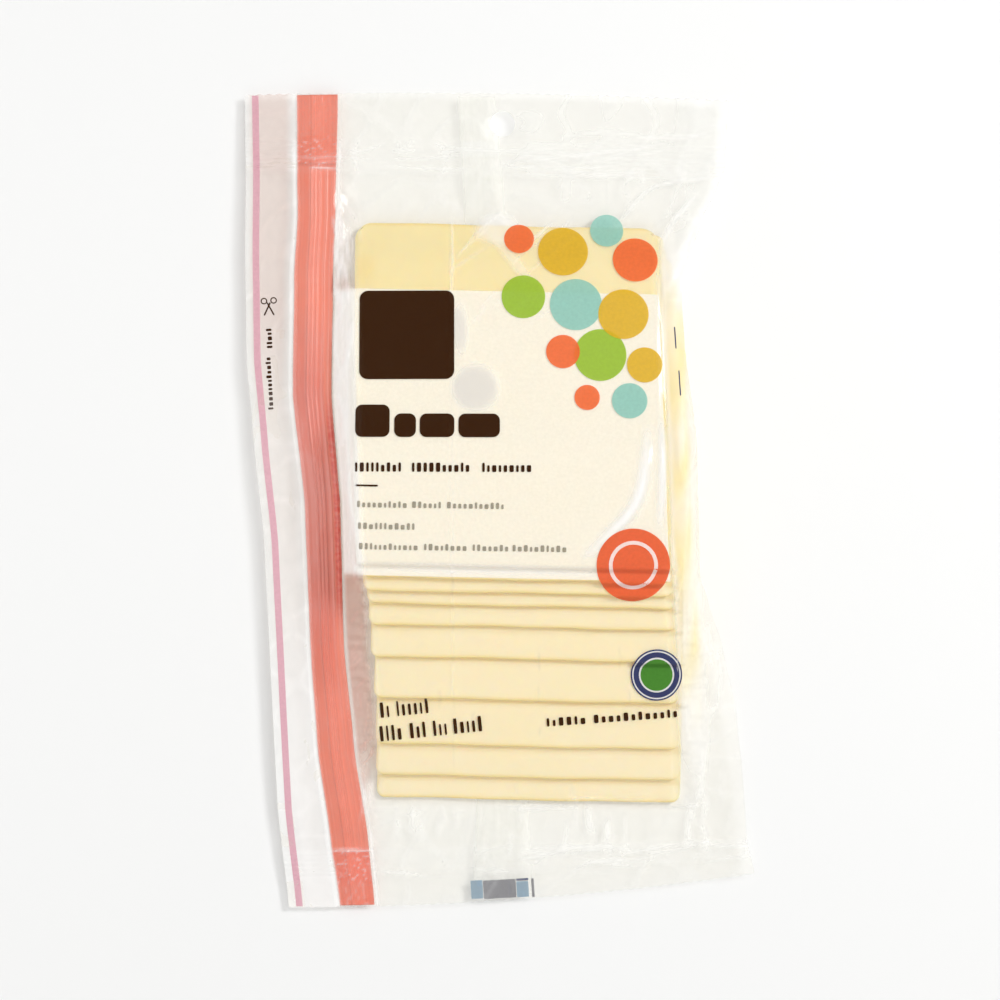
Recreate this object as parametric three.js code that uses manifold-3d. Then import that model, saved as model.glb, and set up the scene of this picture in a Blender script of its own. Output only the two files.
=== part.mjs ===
// A clear resealable pack of sliced cheese, lying on its back with its front up.
// Millimetres: +X to the pack's right, +Y to its top seal, +Z up to the viewer.
// The origin is at the middle of the pack's box, on the surface that it lies on.
// The pack is shut, so film and slices are one closed solid with the true outer form.
import * as THREE from 'three';
import Module from 'manifold-3d';

const wasm = await Module();
wasm.setup();

// Slices, laid like shingles: each lies under the last and shows below it
const SLICE_LENGTH = 104;
const SLICE_THICKNESS = 2.14;
const SLICE_REVEALS = [4.4, 4.0, 3.9, 6.4, 9.7, 12.5, 14.0, 9.6, 7.0];
const TOP_SLICE_EDGE = -21.7;
const STEP_RUN = 1.6;
const DRAPE_RUN = 13;
const SHOULDER = 3;
const SHOULDER_DROP = 0.9;

// Film and its flat ends
const FILM = 0.7;
const FILM_OVER_CHEESE = 0.4;
const TOP_EDGE = 120.6;
const BOTTOM_EDGE = -122.8;
const TOP_SEAL = { outer: 105.5, inner: 95.5 };
const BOTTOM_SEAL = { outer: -114.5, inner: -107 };
const SEAL_RIB = { pitch: 2.5, height: 0.3 };
const TOOTH = { pitch: 3, depth: 0.7 };
const HANG_HOLE = { x: 5.5, y: 111.2, radius: 3.85, sides: 24 };
const FIN_RELIEF = 0.5;

// Zipper strip and the groove that it lies in
const ZIPPER_GAP = 0.3;
const GROOVE_FLOOR = 0.1;
const ZIPPER_EDGE = 0.45;
const ZIPPER_TRACK = 1.3;
const ZIPPER_CRUSHED = 0.45;

// Eye of the top slice, and the fold that stands in the film over the slices
const EYE = { x: -4, y: 45.5, halfWidth: 7, halfLength: 13.5, depth: 1.5 };
const FOLD = { halfWidth: 1.3, height: 0.9, sunk: 0.5 };
const FOLD_ROUTE = [[43.8, 14.4], [43.4, 0.6], [40.3, -5], [33.6, -11.2], [26.3, -19.4]];

const CLEAR_FILM = { color: 0xf3efe6, roughness: 0.22, metalness: 0 };
const CORAL_PLASTIC = { color: 0xe8907c, roughness: 0.35, metalness: 0 };

const smooth = THREE.MathUtils.smoothstep;
const lerp = THREE.MathUtils.lerp;

// A soft curve through [place, value] stops, which come in rising order of place
function curve(...stops) {
  return (place) => {
    if (place <= stops[0][0]) return stops[0][1];
    for (let i = 1; i < stops.length; i++) {
      const [from, a] = stops[i - 1];
      const [to, b] = stops[i];
      const even = (place - from) / (to - from);
      if (place <= to) return lerp(a, b, 0.4 * smooth(place, from, to) + 0.6 * even);
    }
    return stops[stops.length - 1][1];
  };
}

// Lines that run from the bottom of the pack to its top: y against x
const LEFT_EDGE = curve([-123, -68.8], [-92, -70.8], [-60, -71.1], [-12, -71.4], [20, -73.3],
  [43, -74.5], [70, -73.7], [103, -72.3], [123, -71.9]);
const ZIPPER_LEFT = curve([-122, -53.4], [-103, -55.3], [-74, -58.1], [-44, -58.9], [0, -58.8],
  [32, -61], [67, -59.2], [87, -57.3], [122, -56.2]);
const ZIPPER_RIGHT = curve([-122, -43], [-103, -44], [-75, -47], [-44, -48.7], [0, -47.9],
  [31, -49.2], [67, -47.4], [87, -45.9], [122, -43.8]);
const STACK_LEFT = curve([-93, -40.6], [-47, -40.5], [-21, -42.2], [0, -43.4], [29, -41.5],
  [80, -39.7]);
const STACK_RIGHT = curve([-96, 52.1], [-49, 53.2], [-27, 55.8], [-5, 55.2], [20, 54], [58, 54.3],
  [82, 55.4]);
const RIGHT_EDGE = curve([-118.5, 72.1], [-108, 70.2], [-90, 69.7], [-69, 68.4], [-49, 65],
  [-35, 61], [-27, 58.6], [-4, 59.3], [13, 59.6], [41, 57], [55, 56.7], [65, 58.4], [80, 64.5],
  [89, 69.3], [95, 72], [103, 72.7], [115, 74.2]);
const FIN_LEFT = curve([-121, -13], [-98, -11], [88, -7], [120, -7.5]);
const FIN_RIGHT = curve([-121, 5], [-98, 4.4], [88, 5], [120, 3.5]);

// Slope and bend of the lines that cross the pack, which fan out at its bottom end
const CROSS_X = 5;
const CROSS_SLOPE = curve([-122.8, 0.035], [-93, -0.063], [100, -0.063], [120.6, -0.057]);
const CROSS_BEND = curve([-122.8, 0.0005], [-100, 0], [100, 0], [120.6, -0.00028]);

// Heights of the middle of the flat film along the pack
const LIP_LEVEL = 3;
const LEFT_LEVEL = curve([-122, 2.6], [-90, 4.2], [0, 5], [80, 4.4], [122, 2.8]);
const ZIPPER_LEFT_LEVEL = curve([-122, 2.7], [-95, 4], [-30, 4.6], [0, 5], [35, 4.6], [95, 3.8],
  [122, 3]);
const ZIPPER_RIGHT_LEVEL = curve([-122, 2.8], [-95, 3.8], [-30, 6.5], [0, 8.5], [30, 6.5], [60, 5],
  [95, 3.6], [122, 3]);
const RIGHT_LEVEL = curve([-120, 3.2], [-90, 3.6], [-45, 5.5], [-20, 9], [45, 8.5], [75, 5],
  [95, 3.4], [120, 3.6]);

const SLICE_EDGES = [TOP_SLICE_EDGE];
for (const reveal of SLICE_REVEALS) SLICE_EDGES.push(SLICE_EDGES.at(-1) - reveal);
const LAST_EDGE = SLICE_EDGES.at(-1);
const STACK_TOP = TOP_SLICE_EDGE + SLICE_LENGTH;

function crossLine(row, x) {
  const across = x - CROSS_X;
  return row + CROSS_SLOPE(row) * across + CROSS_BEND(row) * across * across;
}

// The point where a cross line meets a lengthwise line
function meet(row, line) {
  let x = line(row);
  for (let i = 0; i < 6; i++) x = line(crossLine(row, x));
  return x;
}

// The row of a point
function rowOf(x, y) {
  let row = y;
  for (let i = 0; i < 6; i++) row += y - crossLine(row, x);
  return row;
}

// How high the slices stand: steps at their lower edges, a soft slope over their upper ends
function stackHeight(row) {
  let slices = 0;
  for (const edge of SLICE_EDGES) {
    const upper = edge + SLICE_LENGTH;
    slices += smooth(row, edge - STEP_RUN / 2, edge + STEP_RUN / 2);
    slices -= smooth(row, upper - DRAPE_RUN / 2, upper + DRAPE_RUN / 2);
  }
  return slices * SLICE_THICKNESS;
}

// How much of the flat end film's level holds: none where the slices lie
function endShare(row) {
  return smooth(row, STACK_TOP - 2, TOP_SEAL.inner) + 1 - smooth(row, BOTTOM_SEAL.inner, LAST_EDGE + 1);
}

function sealRibs(row) {
  for (const seal of [TOP_SEAL, BOTTOM_SEAL]) {
    const low = Math.min(seal.outer, seal.inner);
    const high = Math.max(seal.outer, seal.inner);
    if (row >= low && row <= high) {
      const turns = Math.round((high - low) / SEAL_RIB.pitch);
      return SEAL_RIB.height * (1 - Math.cos((row - low) / (high - low) * turns * 2 * Math.PI)) / 2;
    }
  }
  return 0;
}

function eyeDepth(x, y) {
  const r = Math.hypot((x - EYE.x) / EYE.halfWidth, (y - EYE.y) / EYE.halfLength);
  return EYE.depth * (1 - smooth(r, 0.55, 1.1));
}

function stackTop(x, row) {
  const y = crossLine(row, x);
  const fromSide = Math.min(x - meet(row, STACK_LEFT), meet(row, STACK_RIGHT) - x);
  const shoulder = SHOULDER_DROP * (1 - smooth(fromSide, 0, SHOULDER));
  const height = stackHeight(row);
  const soft = Math.min(1, height / (2 * SLICE_THICKNESS));
  return height + FILM_OVER_CHEESE - soft * shoulder - eyeDepth(x, y);
}

function stackColumn(row, x, finDepth) {
  const share = endShare(row);
  const level = LIP_LEVEL * share;
  const top = Math.max(stackTop(x, row), level + FILM / 2);
  const base = Math.max(0, level - FILM / 2);
  return { x, top: top + sealRibs(row), base: Math.max(0, base - finDepth * smooth(base, 1, 2)) };
}

function filmColumn(row, x, level) {
  return { x, top: level + FILM / 2 + sealRibs(row), base: level - FILM / 2 };
}

// Columns of one row, from the left edge to the right
function sectionAt(row) {
  const left = meet(row, LEFT_EDGE);
  const zipLeft = meet(row, ZIPPER_LEFT);
  const zipRight = meet(row, ZIPPER_RIGHT);
  const stackLeft = meet(row, STACK_LEFT);
  const stackRight = meet(row, STACK_RIGHT);
  const right = meet(row, RIGHT_EDGE);
  const finLeft = meet(row, FIN_LEFT);
  const finRight = meet(row, FIN_RIGHT);
  const leftLevel = LEFT_LEVEL(row);
  const zipLeftLevel = ZIPPER_LEFT_LEVEL(row);
  const zipRightLevel = ZIPPER_RIGHT_LEVEL(row);
  const wall = 0.1;
  const columns = [filmColumn(row, left, leftLevel)];
  columns.push(filmColumn(row, lerp(left, zipLeft, 0.5), lerp(leftLevel, zipLeftLevel, 0.5)));
  for (const [x, level, inGroove] of [
    [zipLeft - ZIPPER_GAP, zipLeftLevel, false], [zipLeft - ZIPPER_GAP + wall, zipLeftLevel, true],
    [zipRight + ZIPPER_GAP - wall, zipRightLevel, true], [zipRight + ZIPPER_GAP, zipRightLevel, false],
  ]) {
    const column = filmColumn(row, x, level);
    if (inGroove) column.top = level + GROOVE_FLOOR;
    columns.push(column);
  }
  const edge = stackColumn(row, stackLeft, 0);
  columns.push({
    x: lerp(zipRight, stackLeft, 0.6),
    top: lerp(zipRightLevel + FILM / 2, edge.top, 0.55),
    base: lerp(zipRightLevel - FILM / 2, edge.base, 0.7),
  });
  columns.push(edge);
  const spread = (from, to, count) => {
    for (let i = 0; i < count; i++) columns.push(stackColumn(row, lerp(from, to, i / (count - 1)), 0));
  };
  spread(stackLeft + SHOULDER, finLeft - 1, 5);
  for (const share of [0, 0.5, 1]) {
    columns.push(stackColumn(row, lerp(finLeft, finRight, share), FIN_RELIEF));
  }
  spread(finRight + 1, stackRight - SHOULDER, 7);
  const far = stackColumn(row, stackRight, 0);
  columns.push(far);
  const rightLevel = RIGHT_LEVEL(row);
  for (const [share, rise, sink] of [[0.35, 0.45, 0.3], [0.7, 0.8, 0.68]]) {
    columns.push({
      x: lerp(stackRight, right, share),
      top: lerp(far.top, rightLevel + FILM / 2 + sealRibs(row), rise),
      base: lerp(far.base, rightLevel - FILM / 2, sink),
    });
  }
  columns.push(filmColumn(row, right, rightLevel));
  return columns;
}

function bagRows() {
  const rows = [TOP_EDGE, 116, 111, 107.5];
  const addRibs = (from, to) => {
    const halves = 2 * Math.round(Math.abs(to - from) / SEAL_RIB.pitch);
    for (let i = 0; i <= halves; i++) rows.push(lerp(from, to, i / halves));
  };
  addRibs(TOP_SEAL.outer, TOP_SEAL.inner);
  rows.push(91, 87);
  const slopeRows = 15;
  for (let i = 0; i < slopeRows; i++) {
    rows.push(lerp(STACK_TOP + 1, TOP_SLICE_EDGE + 3, i / (slopeRows - 1)));
  }
  SLICE_EDGES.forEach((edge, i) => {
    rows.push(edge + STEP_RUN / 2, edge - STEP_RUN / 2);
    if (SLICE_REVEALS[i] > 6) rows.push(edge - SLICE_REVEALS[i] / 2);
  });
  rows.push(LAST_EDGE - 3, (LAST_EDGE + BOTTOM_SEAL.inner) / 2 - 1);
  addRibs(BOTTOM_SEAL.inner, BOTTOM_SEAL.outer);
  rows.push(-117, -120, BOTTOM_EDGE);
  return rows;
}

// A closed slab from a grid of columns, each with its x, y, top and base
function slab(grid) {
  const rows = grid.length;
  const columns = grid[0].length;
  const positions = [];
  for (const side of ['top', 'base']) {
    for (const line of grid) for (const point of line) positions.push(point.x, point.y, point[side]);
  }
  const at = (side, i, j) => side * rows * columns + i * columns + j;
  const triangles = [];
  const quad = (a, b, c, d) => triangles.push(a, b, c, a, c, d);
  for (let i = 0; i + 1 < rows; i++) {
    for (let j = 0; j + 1 < columns; j++) {
      quad(at(0, i, j), at(0, i + 1, j), at(0, i + 1, j + 1), at(0, i, j + 1));
      quad(at(1, i, j), at(1, i, j + 1), at(1, i + 1, j + 1), at(1, i + 1, j));
    }
    quad(at(0, i, 0), at(1, i, 0), at(1, i + 1, 0), at(0, i + 1, 0));
    const last = columns - 1;
    quad(at(0, i, last), at(0, i + 1, last), at(1, i + 1, last), at(1, i, last));
  }
  for (let j = 0; j + 1 < columns; j++) {
    quad(at(0, 0, j), at(0, 0, j + 1), at(1, 0, j + 1), at(1, 0, j));
    quad(at(0, rows - 1, j), at(1, rows - 1, j), at(1, rows - 1, j + 1), at(0, rows - 1, j + 1));
  }
  const geometry = new THREE.BufferGeometry();
  geometry.setAttribute('position', new THREE.Float32BufferAttribute(positions, 3));
  geometry.setIndex(triangles);
  return geometry;
}

function solidOf(geometry) {
  return new wasm.Manifold(new wasm.Mesh({
    numProp: 3,
    vertProperties: new Float32Array(geometry.attributes.position.array),
    triVerts: new Uint32Array(geometry.index.array),
  }));
}

// A prism of an outline, tall enough to cut through the film
function prismOf(outline) {
  const height = 40;
  const points = outline.map(([x, y]) => ({ x, y, top: height, base: -height }));
  const triangles = THREE.ShapeUtils.triangulateShape(points.map((p) => new THREE.Vector2(p.x, p.y)), []);
  const positions = [];
  for (const side of ['top', 'base']) for (const p of points) positions.push(p.x, p.y, p[side]);
  const indices = [];
  const count = points.length;
  for (const [a, b, c] of triangles) indices.push(a, b, c, a + count, c + count, b + count);
  for (let i = 0; i < count; i++) {
    const next = (i + 1) % count;
    indices.push(i, i + count, next + count, i, next + count, next);
  }
  const geometry = new THREE.BufferGeometry();
  geometry.setAttribute('position', new THREE.Float32BufferAttribute(positions, 3));
  geometry.setIndex(indices);
  return solidOf(geometry);
}

// What the toothed knife takes off one end: teeth on the side of the pack, straight beyond it
function knifeCut(row, outward) {
  const from = meet(row, LEFT_EDGE) - TOOTH.pitch;
  const to = meet(row, RIGHT_EDGE) + TOOTH.pitch;
  const halves = 2 * Math.round((to - from) / TOOTH.pitch);
  const outline = [];
  for (let i = 0; i <= halves; i++) {
    const x = lerp(from, to, i / halves);
    outline.push([x, crossLine(row, x) - outward * (i % 2 ? TOOTH.depth : 0)]);
  }
  const beyond = outward * 12;
  outline.push([to, crossLine(row, to) + beyond], [from, crossLine(row, from) + beyond]);
  return prismOf(outward > 0 ? outline : outline.reverse());
}

function hangHole() {
  const outline = [];
  for (let i = 0; i < HANG_HOLE.sides; i++) {
    const turn = 2 * Math.PI * i / HANG_HOLE.sides;
    outline.push([HANG_HOLE.x + HANG_HOLE.radius * Math.cos(turn),
      HANG_HOLE.y + HANG_HOLE.radius * Math.sin(turn)]);
  }
  return prismOf(outline);
}

// A fold that stands in the film along a route over the slices
function filmFold(route) {
  const path = new THREE.CatmullRomCurve3(route.map(([x, y]) => new THREE.Vector3(x, y, 0)));
  const steps = 16;
  const lines = [];
  for (let i = 0; i <= steps; i++) {
    const middle = path.getPointAt(i / steps);
    const ahead = path.getTangentAt(i / steps);
    const swell = Math.sin(Math.PI * i / steps) ** 0.5;
    const ground = stackTop(middle.x, rowOf(middle.x, middle.y));
    lines.push([-1, 0, 1].map((side) => ({
      x: middle.x + side * ahead.y * FOLD.halfWidth,
      y: middle.y - side * ahead.x * FOLD.halfWidth,
      top: ground - FOLD.sunk + 0.1 + (side === 0 ? (FOLD.sunk + FOLD.height) * swell : 0),
      base: ground - FOLD.sunk - 0.4,
    })));
  }
  return solidOf(slab(lines));
}

function geometryOf(solid) {
  const mesh = solid.getMesh();
  const geometry = new THREE.BufferGeometry();
  geometry.setAttribute('position', new THREE.Float32BufferAttribute(mesh.vertProperties, mesh.numProp));
  geometry.setIndex(Array.from(mesh.triVerts));
  return geometry;
}

function makeBag() {
  const grid = bagRows().map((row) => sectionAt(row).map(
    (column) => ({ ...column, y: crossLine(row, column.x) })));
  return geometryOf(solidOf(slab(grid))
    .add(filmFold(FOLD_ROUTE))
    .subtract(knifeCut(TOP_EDGE, 1))
    .subtract(knifeCut(BOTTOM_EDGE, -1))
    .subtract(hangHole()));
}

// The zipper's section: edge beads, and two tracks that press together. [share across, share of height]
const ZIPPER_SECTION = [[0, 0], [0.12, 0.5], [0.26, 0.25], [0.38, 1], [0.5, 0.3], [0.62, 1], [0.76, 0.25],
  [0.9, 0.5], [1, 0]];

// Shorter than the film by this much at each end, so that the knife's teeth miss it
const ZIPPER_SHORT = 1.1;

function makeZipper() {
  const steps = 38;
  const grid = [];
  for (let i = 0; i <= steps; i++) {
    const row = lerp(TOP_EDGE - ZIPPER_SHORT, BOTTOM_EDGE + ZIPPER_SHORT, i / steps);
    const from = meet(row, ZIPPER_LEFT);
    const to = meet(row, ZIPPER_RIGHT);
    const flat = smooth(row, TOP_SEAL.inner - 4, TOP_SEAL.inner) + 1
      - smooth(row, BOTTOM_SEAL.inner, BOTTOM_SEAL.inner + 4);
    const track = lerp(ZIPPER_TRACK, ZIPPER_CRUSHED, flat);
    grid.push(ZIPPER_SECTION.map(([across, rise]) => {
      const x = lerp(from, to, across);
      const level = lerp(ZIPPER_LEFT_LEVEL(row), ZIPPER_RIGHT_LEVEL(row), across);
      const base = level + GROOVE_FLOOR + ZIPPER_GAP;
      return { x, y: crossLine(row, x), top: base + ZIPPER_EDGE + rise * track, base };
    }));
  }
  return slab(grid);
}

function meshOf(name, geometry, finish) {
  geometry.computeVertexNormals();
  const mesh = new THREE.Mesh(geometry, new THREE.MeshStandardMaterial(finish));
  mesh.name = name;
  return mesh;
}

const group = new THREE.Group();
group.add(meshOf('bag', makeBag(), CLEAR_FILM));
group.add(meshOf('zipper', makeZipper(), CORAL_PLASTIC));

export default group;
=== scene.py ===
"""A clear resealable pack of sliced cheese: film, slices, zipper strip and print.

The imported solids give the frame. The film bag, the slices and the zipper strip
here stand for the solids bag and zipper. Forms are worked out in millimetres, in
the pack's own frame, and a piece becomes metres when its mesh is finished.
"""

import logging
import math
import random
from dataclasses import dataclass, field
from enum import Enum
from typing import Callable

import bmesh
import bpy
import numpy as np
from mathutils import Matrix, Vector

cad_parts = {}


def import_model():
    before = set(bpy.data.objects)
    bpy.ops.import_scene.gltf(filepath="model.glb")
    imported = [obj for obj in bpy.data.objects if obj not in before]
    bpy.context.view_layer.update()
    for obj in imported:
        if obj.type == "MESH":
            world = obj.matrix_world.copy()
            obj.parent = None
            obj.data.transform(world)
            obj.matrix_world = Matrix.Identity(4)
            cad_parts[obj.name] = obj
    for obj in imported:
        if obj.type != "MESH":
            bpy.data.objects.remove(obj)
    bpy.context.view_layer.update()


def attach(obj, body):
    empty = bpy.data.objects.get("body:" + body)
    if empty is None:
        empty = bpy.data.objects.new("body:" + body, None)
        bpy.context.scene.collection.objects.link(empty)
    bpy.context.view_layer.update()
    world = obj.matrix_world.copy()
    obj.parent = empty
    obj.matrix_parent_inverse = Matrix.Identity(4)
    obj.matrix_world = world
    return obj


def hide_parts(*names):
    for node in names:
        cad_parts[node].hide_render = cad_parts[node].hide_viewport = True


log = logging.getLogger("cheese_pack")

MM = 0.001
Array = np.ndarray
Range = tuple[float, float]
Route = tuple[Range, ...]
Window = tuple[float, float, float, float]
Ridge = tuple[float, float, float]


def part_way(value: Array, low: Array, high: Array) -> Array:
    """Returns how far a value is on its way from low to high, from 0 to 1."""
    return np.clip((value - low) / (high - low), 0.0, 1.0)


def smooth(value: Array, low: float, high: float) -> Array:
    """Returns a soft step from 0 at low to 1 at high."""
    share = part_way(np.asarray(value, float), low, high)
    return share * share * (3.0 - 2.0 * share)


def window(value: Array, rise: float, full: float, fall: float, out: float) -> Array:
    """Returns 1 from full to fall, with soft steps to 0 at rise and at out."""
    return smooth(value, rise, full) * (1 - smooth(value, fall, out))


def mix(a: Array, b: Array, share: Array) -> Array:
    """Returns the value between a and b at a share of the way."""
    return a + (b - a) * share


def ridges(across: Array, rows: tuple[Ridge, ...]) -> Array:
    """Returns the sum of soft ridges, each by its middle, its half width and its height."""
    return sum(height * np.exp(-((across - middle) / half) ** 2) for middle, half, height in rows)


class Curve:
    """A soft curve through (place, value) stops in rising order of place."""

    def __init__(self, *stops: tuple[float, float]) -> None:
        """Keeps the stops.

        Args:
            stops: The places and the values there.
        """
        self.places = np.array([stop[0] for stop in stops], float)
        self.values = np.array([stop[1] for stop in stops], float)

    def __call__(self, at: Array) -> Array:
        """Reads the curve, which is level beyond its ends.

        Args:
            at: The places.

        Returns:
            The values there.
        """
        at = np.asarray(at, float)
        low = np.clip(np.searchsorted(self.places, at, side="right") - 1, 0, len(self.places) - 2)
        share = part_way(at, self.places[low], self.places[low + 1])
        eased = 0.6 * share + 0.4 * share * share * (3.0 - 2.0 * share)
        return mix(self.values[low], self.values[low + 1], eased)


@dataclass(frozen=True)
class Fold:
    """A fold that stands in the film along a route, or a crease where its height is under zero."""

    route: Route
    half_width: float
    height: float
    # Milk on the fold: partly whitened film, partly painted highlight.
    haze: float = 0.0

    def strength(self, x: Array, y: Array) -> Array:
        """Works out how strongly the fold is felt.

        Args:
            x: Places across the pack.
            y: Places along the pack.

        Returns:
            1 on the fold's line, falling to 0 beside it and towards its ends.
        """
        points = np.array(self.route, float)
        reach = 3.0 * self.half_width
        near = ((x > points[:, 0].min() - reach) & (x < points[:, 0].max() + reach)
                & (y > points[:, 1].min() - reach) & (y < points[:, 1].max() + reach))
        felt = np.zeros_like(x)
        if not near.any():
            return felt
        px, py = x[near], y[near]
        best = np.full(px.shape, np.inf)
        along = np.zeros(px.shape)
        lengths = np.hypot(*np.diff(points, axis=0).T)
        walked = 0.0
        for (ax, ay), (bx, by), length in zip(points[:-1], points[1:], lengths):
            share = np.clip(((px - ax) * (bx - ax) + (py - ay) * (by - ay)) / length ** 2, 0.0, 1.0)
            gap = np.hypot(px - ax - share * (bx - ax), py - ay - share * (by - ay))
            closer = gap < best
            best = np.where(closer, gap, best)
            along = np.where(closer, walked + share * length, along)
            walked += length
        taper = np.sin(np.pi * np.clip(along / walked, 0.0, 1.0)) ** 0.6
        felt[near] = np.exp(-(best / self.half_width) ** 2) * taper
        return felt


def bent(route: Route, steps: int = 6) -> Route:
    """Rounds a route by a curve through its points.

    Args:
        route: The points to pass through.
        steps: The number of steps between two points.

    Returns:
        The finer route.
    """
    points = [Vector(p) for p in route]
    ends = [2 * points[0] - points[1], *points, 2 * points[-1] - points[-2]]
    finer = []
    for a, b, c, d in zip(ends, ends[1:], ends[2:], ends[3:]):
        for i in range(steps):
            t = i / steps
            point = 0.5 * (2 * b + (c - a) * t + (2 * a - 5 * b + 4 * c - d) * t ** 2
                           + (3 * b - a - 3 * c + d) * t ** 3)
            finer.append(tuple(point))
    finer.append(tuple(points[-1]))
    return tuple(finer)


def crumple(x: Array, y: Array, wavelength: float, seed: int, stretch: float = 1.0) -> Array:
    """Gives an even field of small creases, from crossing waves.

    Args:
        x: Places across the pack.
        y: Places along the pack.
        wavelength: The mean distance between creases.
        seed: The seed of the field.
        stretch: How much longer the creases are along the pack than across it.

    Returns:
        Heights from about -1 to 1, with sharp crests.
    """
    draw = random.Random(seed)
    total = np.zeros_like(x)
    waves = 7
    for _ in range(waves):
        turn = draw.uniform(0.0, math.pi)
        pitch = 2.0 * math.pi / (wavelength * draw.uniform(0.6, 1.6))
        phase = draw.uniform(0.0, 2.0 * math.pi)
        total += np.sin(pitch * (x * math.cos(turn) + y * math.sin(turn) / stretch) + phase)
    return 1.0 - 2.0 * np.abs(total) / math.sqrt(waves)


@dataclass(frozen=True)
class PackForm:
    """The pack's form: its slices' levels, its lengthwise lines and the heights of its film."""

    slices: int = 10
    slice_width: float = 91.5
    slice_thickness: float = 2.12
    slice_lengths: tuple[float, ...] = (102.2, 104.6, 105.2, 105.8, 106.4,
                                        106.8, 107.2, 107.3, 107.3, 107.3)
    slice_lefts: tuple[float, ...] = (-42.0, -41.9, -41.6, -40.9, -40.4,
                                      -40.4, -40.2, -40.5, -40.9, -41.1)
    slice_leans: tuple[float, ...] = (0.9, 1.6, 2.0, 2.4, 2.8, 3.2, 3.6, 3.6, 3.6, 3.6)
    reveals: tuple[float, ...] = (4.4, 4.0, 3.9, 6.4, 9.7, 12.5, 14.0, 9.6, 7.0)
    top_slice_edge: float = -21.7
    lowest_cheese: float = 0.2
    step_run: float = 1.9
    drape_run: float = 20.0
    shoulder: float = 3.0
    shoulder_drop: float = 1.0
    film_clearance: float = 0.32
    layer_gap: float = 0.14
    top_edge: float = 120.6
    bottom_edge: float = -122.8
    top_seal: Range = (95.5, 105.5)
    bottom_seal: Range = (-114.5, -107.0)
    seal_rib_pitch: float = 1.35
    seal_rib_height: float = 0.1
    tooth_pitch: float = 3.0
    tooth_depth: float = 0.45
    hole_x: float = 5.5
    hole_y: float = 111.2
    hole_radius: float = 3.85
    zipper_bulge: float = 0.75
    lip_level: float = 3.0
    floor_gap: float = 0.1
    eye_x: float = -5.6
    eye_y: float = 31.4
    eye_radius: float = 7.4
    cross_x: float = 5.0
    cross_slope: Curve = Curve((-122.8, 0.035), (-93, -0.063), (100, -0.063), (120.6, -0.057))
    cross_bend: Curve = Curve((-122.8, 0.0005), (-100, 0), (100, 0), (120.6, -0.00028))
    left_edge: Curve = Curve((-123, -68.8), (-92, -70.8), (-60, -71.1), (-12, -71.4), (20, -73.3),
                             (43, -74.4), (70, -73.7), (103, -72.3), (123, -71.9))
    zipper_left: Curve = Curve((-122, -53.4), (-103, -55.3), (-74, -58.1), (-44, -58.9), (0, -58.8),
                               (32, -61), (67, -59.2), (87, -57.3), (122, -56.2))
    zipper_right: Curve = Curve((-122, -43), (-103, -44), (-75, -47), (-44, -48.7), (0, -47.9),
                                (31, -49.2), (67, -47.4), (87, -45.9), (122, -43.8))
    stack_left: Curve = Curve((-93, -41.5), (-60, -41.0), (-45, -41.0), (-30, -42.0), (-21, -42.6),
                              (20, -42.0), (82, -41.0))
    stack_right: Curve = Curve((-96, 51.3), (-75, 51.3), (-50, 51.2), (-30, 50.6), (-15, 50.2),
                               (20, 50.7), (82, 51.7))
    right_edge: Curve = Curve((-118.5, 72.1), (-108, 70.2), (-90, 69.7), (-69, 68.4), (-49, 65),
                              (-35, 61), (-27, 58.8), (-4, 59.3), (13, 59.6), (41, 57.2), (55, 57.0),
                              (65, 58.6), (80, 64.5), (89, 69.3), (95, 72), (103, 72.7), (115, 74.1))
    base_left: Curve = Curve((-93, -41.5), (-50, -38.8), (0, -35.8), (55, -36), (82, -38.8))
    base_right: Curve = Curve((-93, 52.6), (-50, 54.5), (-27, 56.6), (0, 58.0), (13, 58.4), (41, 56.2),
                              (55, 56), (65, 56.6), (82, 56.5))
    fin_left: Curve = Curve((-121, -13), (-98, -11), (88, -7), (120, -7.5))
    fin_right: Curve = Curve((-121, 5), (-98, 4.4), (88, 5), (120, 3.5))
    left_level: Curve = Curve((-122, 2.6), (-90, 4.2), (0, 5), (80, 4.4), (122, 2.8))
    zipper_left_level: Curve = Curve((-122, 2.7), (-95, 4), (-30, 4.6), (0, 5), (35, 4.6), (95, 3.8),
                                     (122, 3))
    zipper_right_level: Curve = Curve((-122, 2.8), (-95, 3.8), (-30, 6.5), (0, 8.5), (30, 6.5),
                                      (60, 5), (95, 3.6), (122, 3))
    right_level: Curve = Curve((-120, 3.2), (-90, 3.6), (-45, 5.5), (-20, 9), (45, 8.5), (75, 5),
                               (95, 3.4), (120, 3.6))

    @property
    def slice_edges(self) -> list[float]:
        """The lower edges of the slices, from the top slice to the last."""
        edges = [self.top_slice_edge]
        for reveal in self.reveals:
            edges.append(edges[-1] - reveal)
        return edges

    def row_at(self, share: Array) -> Array:
        """Spaces cross lines along the pack, more closely where the film bends.

        Args:
            share: Shares of the way from the bottom edge to the top edge.

        Returns:
            The cross lines.
        """
        fine = np.linspace(self.bottom_edge, self.top_edge, 1500)
        steps = smooth(fine, -98, -94) * (1 - smooth(fine, -21, -17))
        density = 1.0 + 1.4 * steps + 0.8 * self.sealed(fine)
        walked = np.concatenate([[0.0], np.cumsum(0.5 * (density[1:] + density[:-1]))])
        return np.interp(share, walked / walked[-1], fine)

    def cross_line(self, row: Array, x: Array) -> Array:
        """Returns the place along the pack of a cross line at x."""
        across = x - self.cross_x
        return row + self.cross_slope(row) * across + self.cross_bend(row) * across * across

    def meet(self, row: Array, line: Curve) -> Array:
        """Finds where cross lines meet a lengthwise line.

        Args:
            row: Cross lines.
            line: The lengthwise line.

        Returns:
            Places across the pack.
        """
        x = line(row)
        for _ in range(5):
            x = line(self.cross_line(row, x))
        return x

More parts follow.
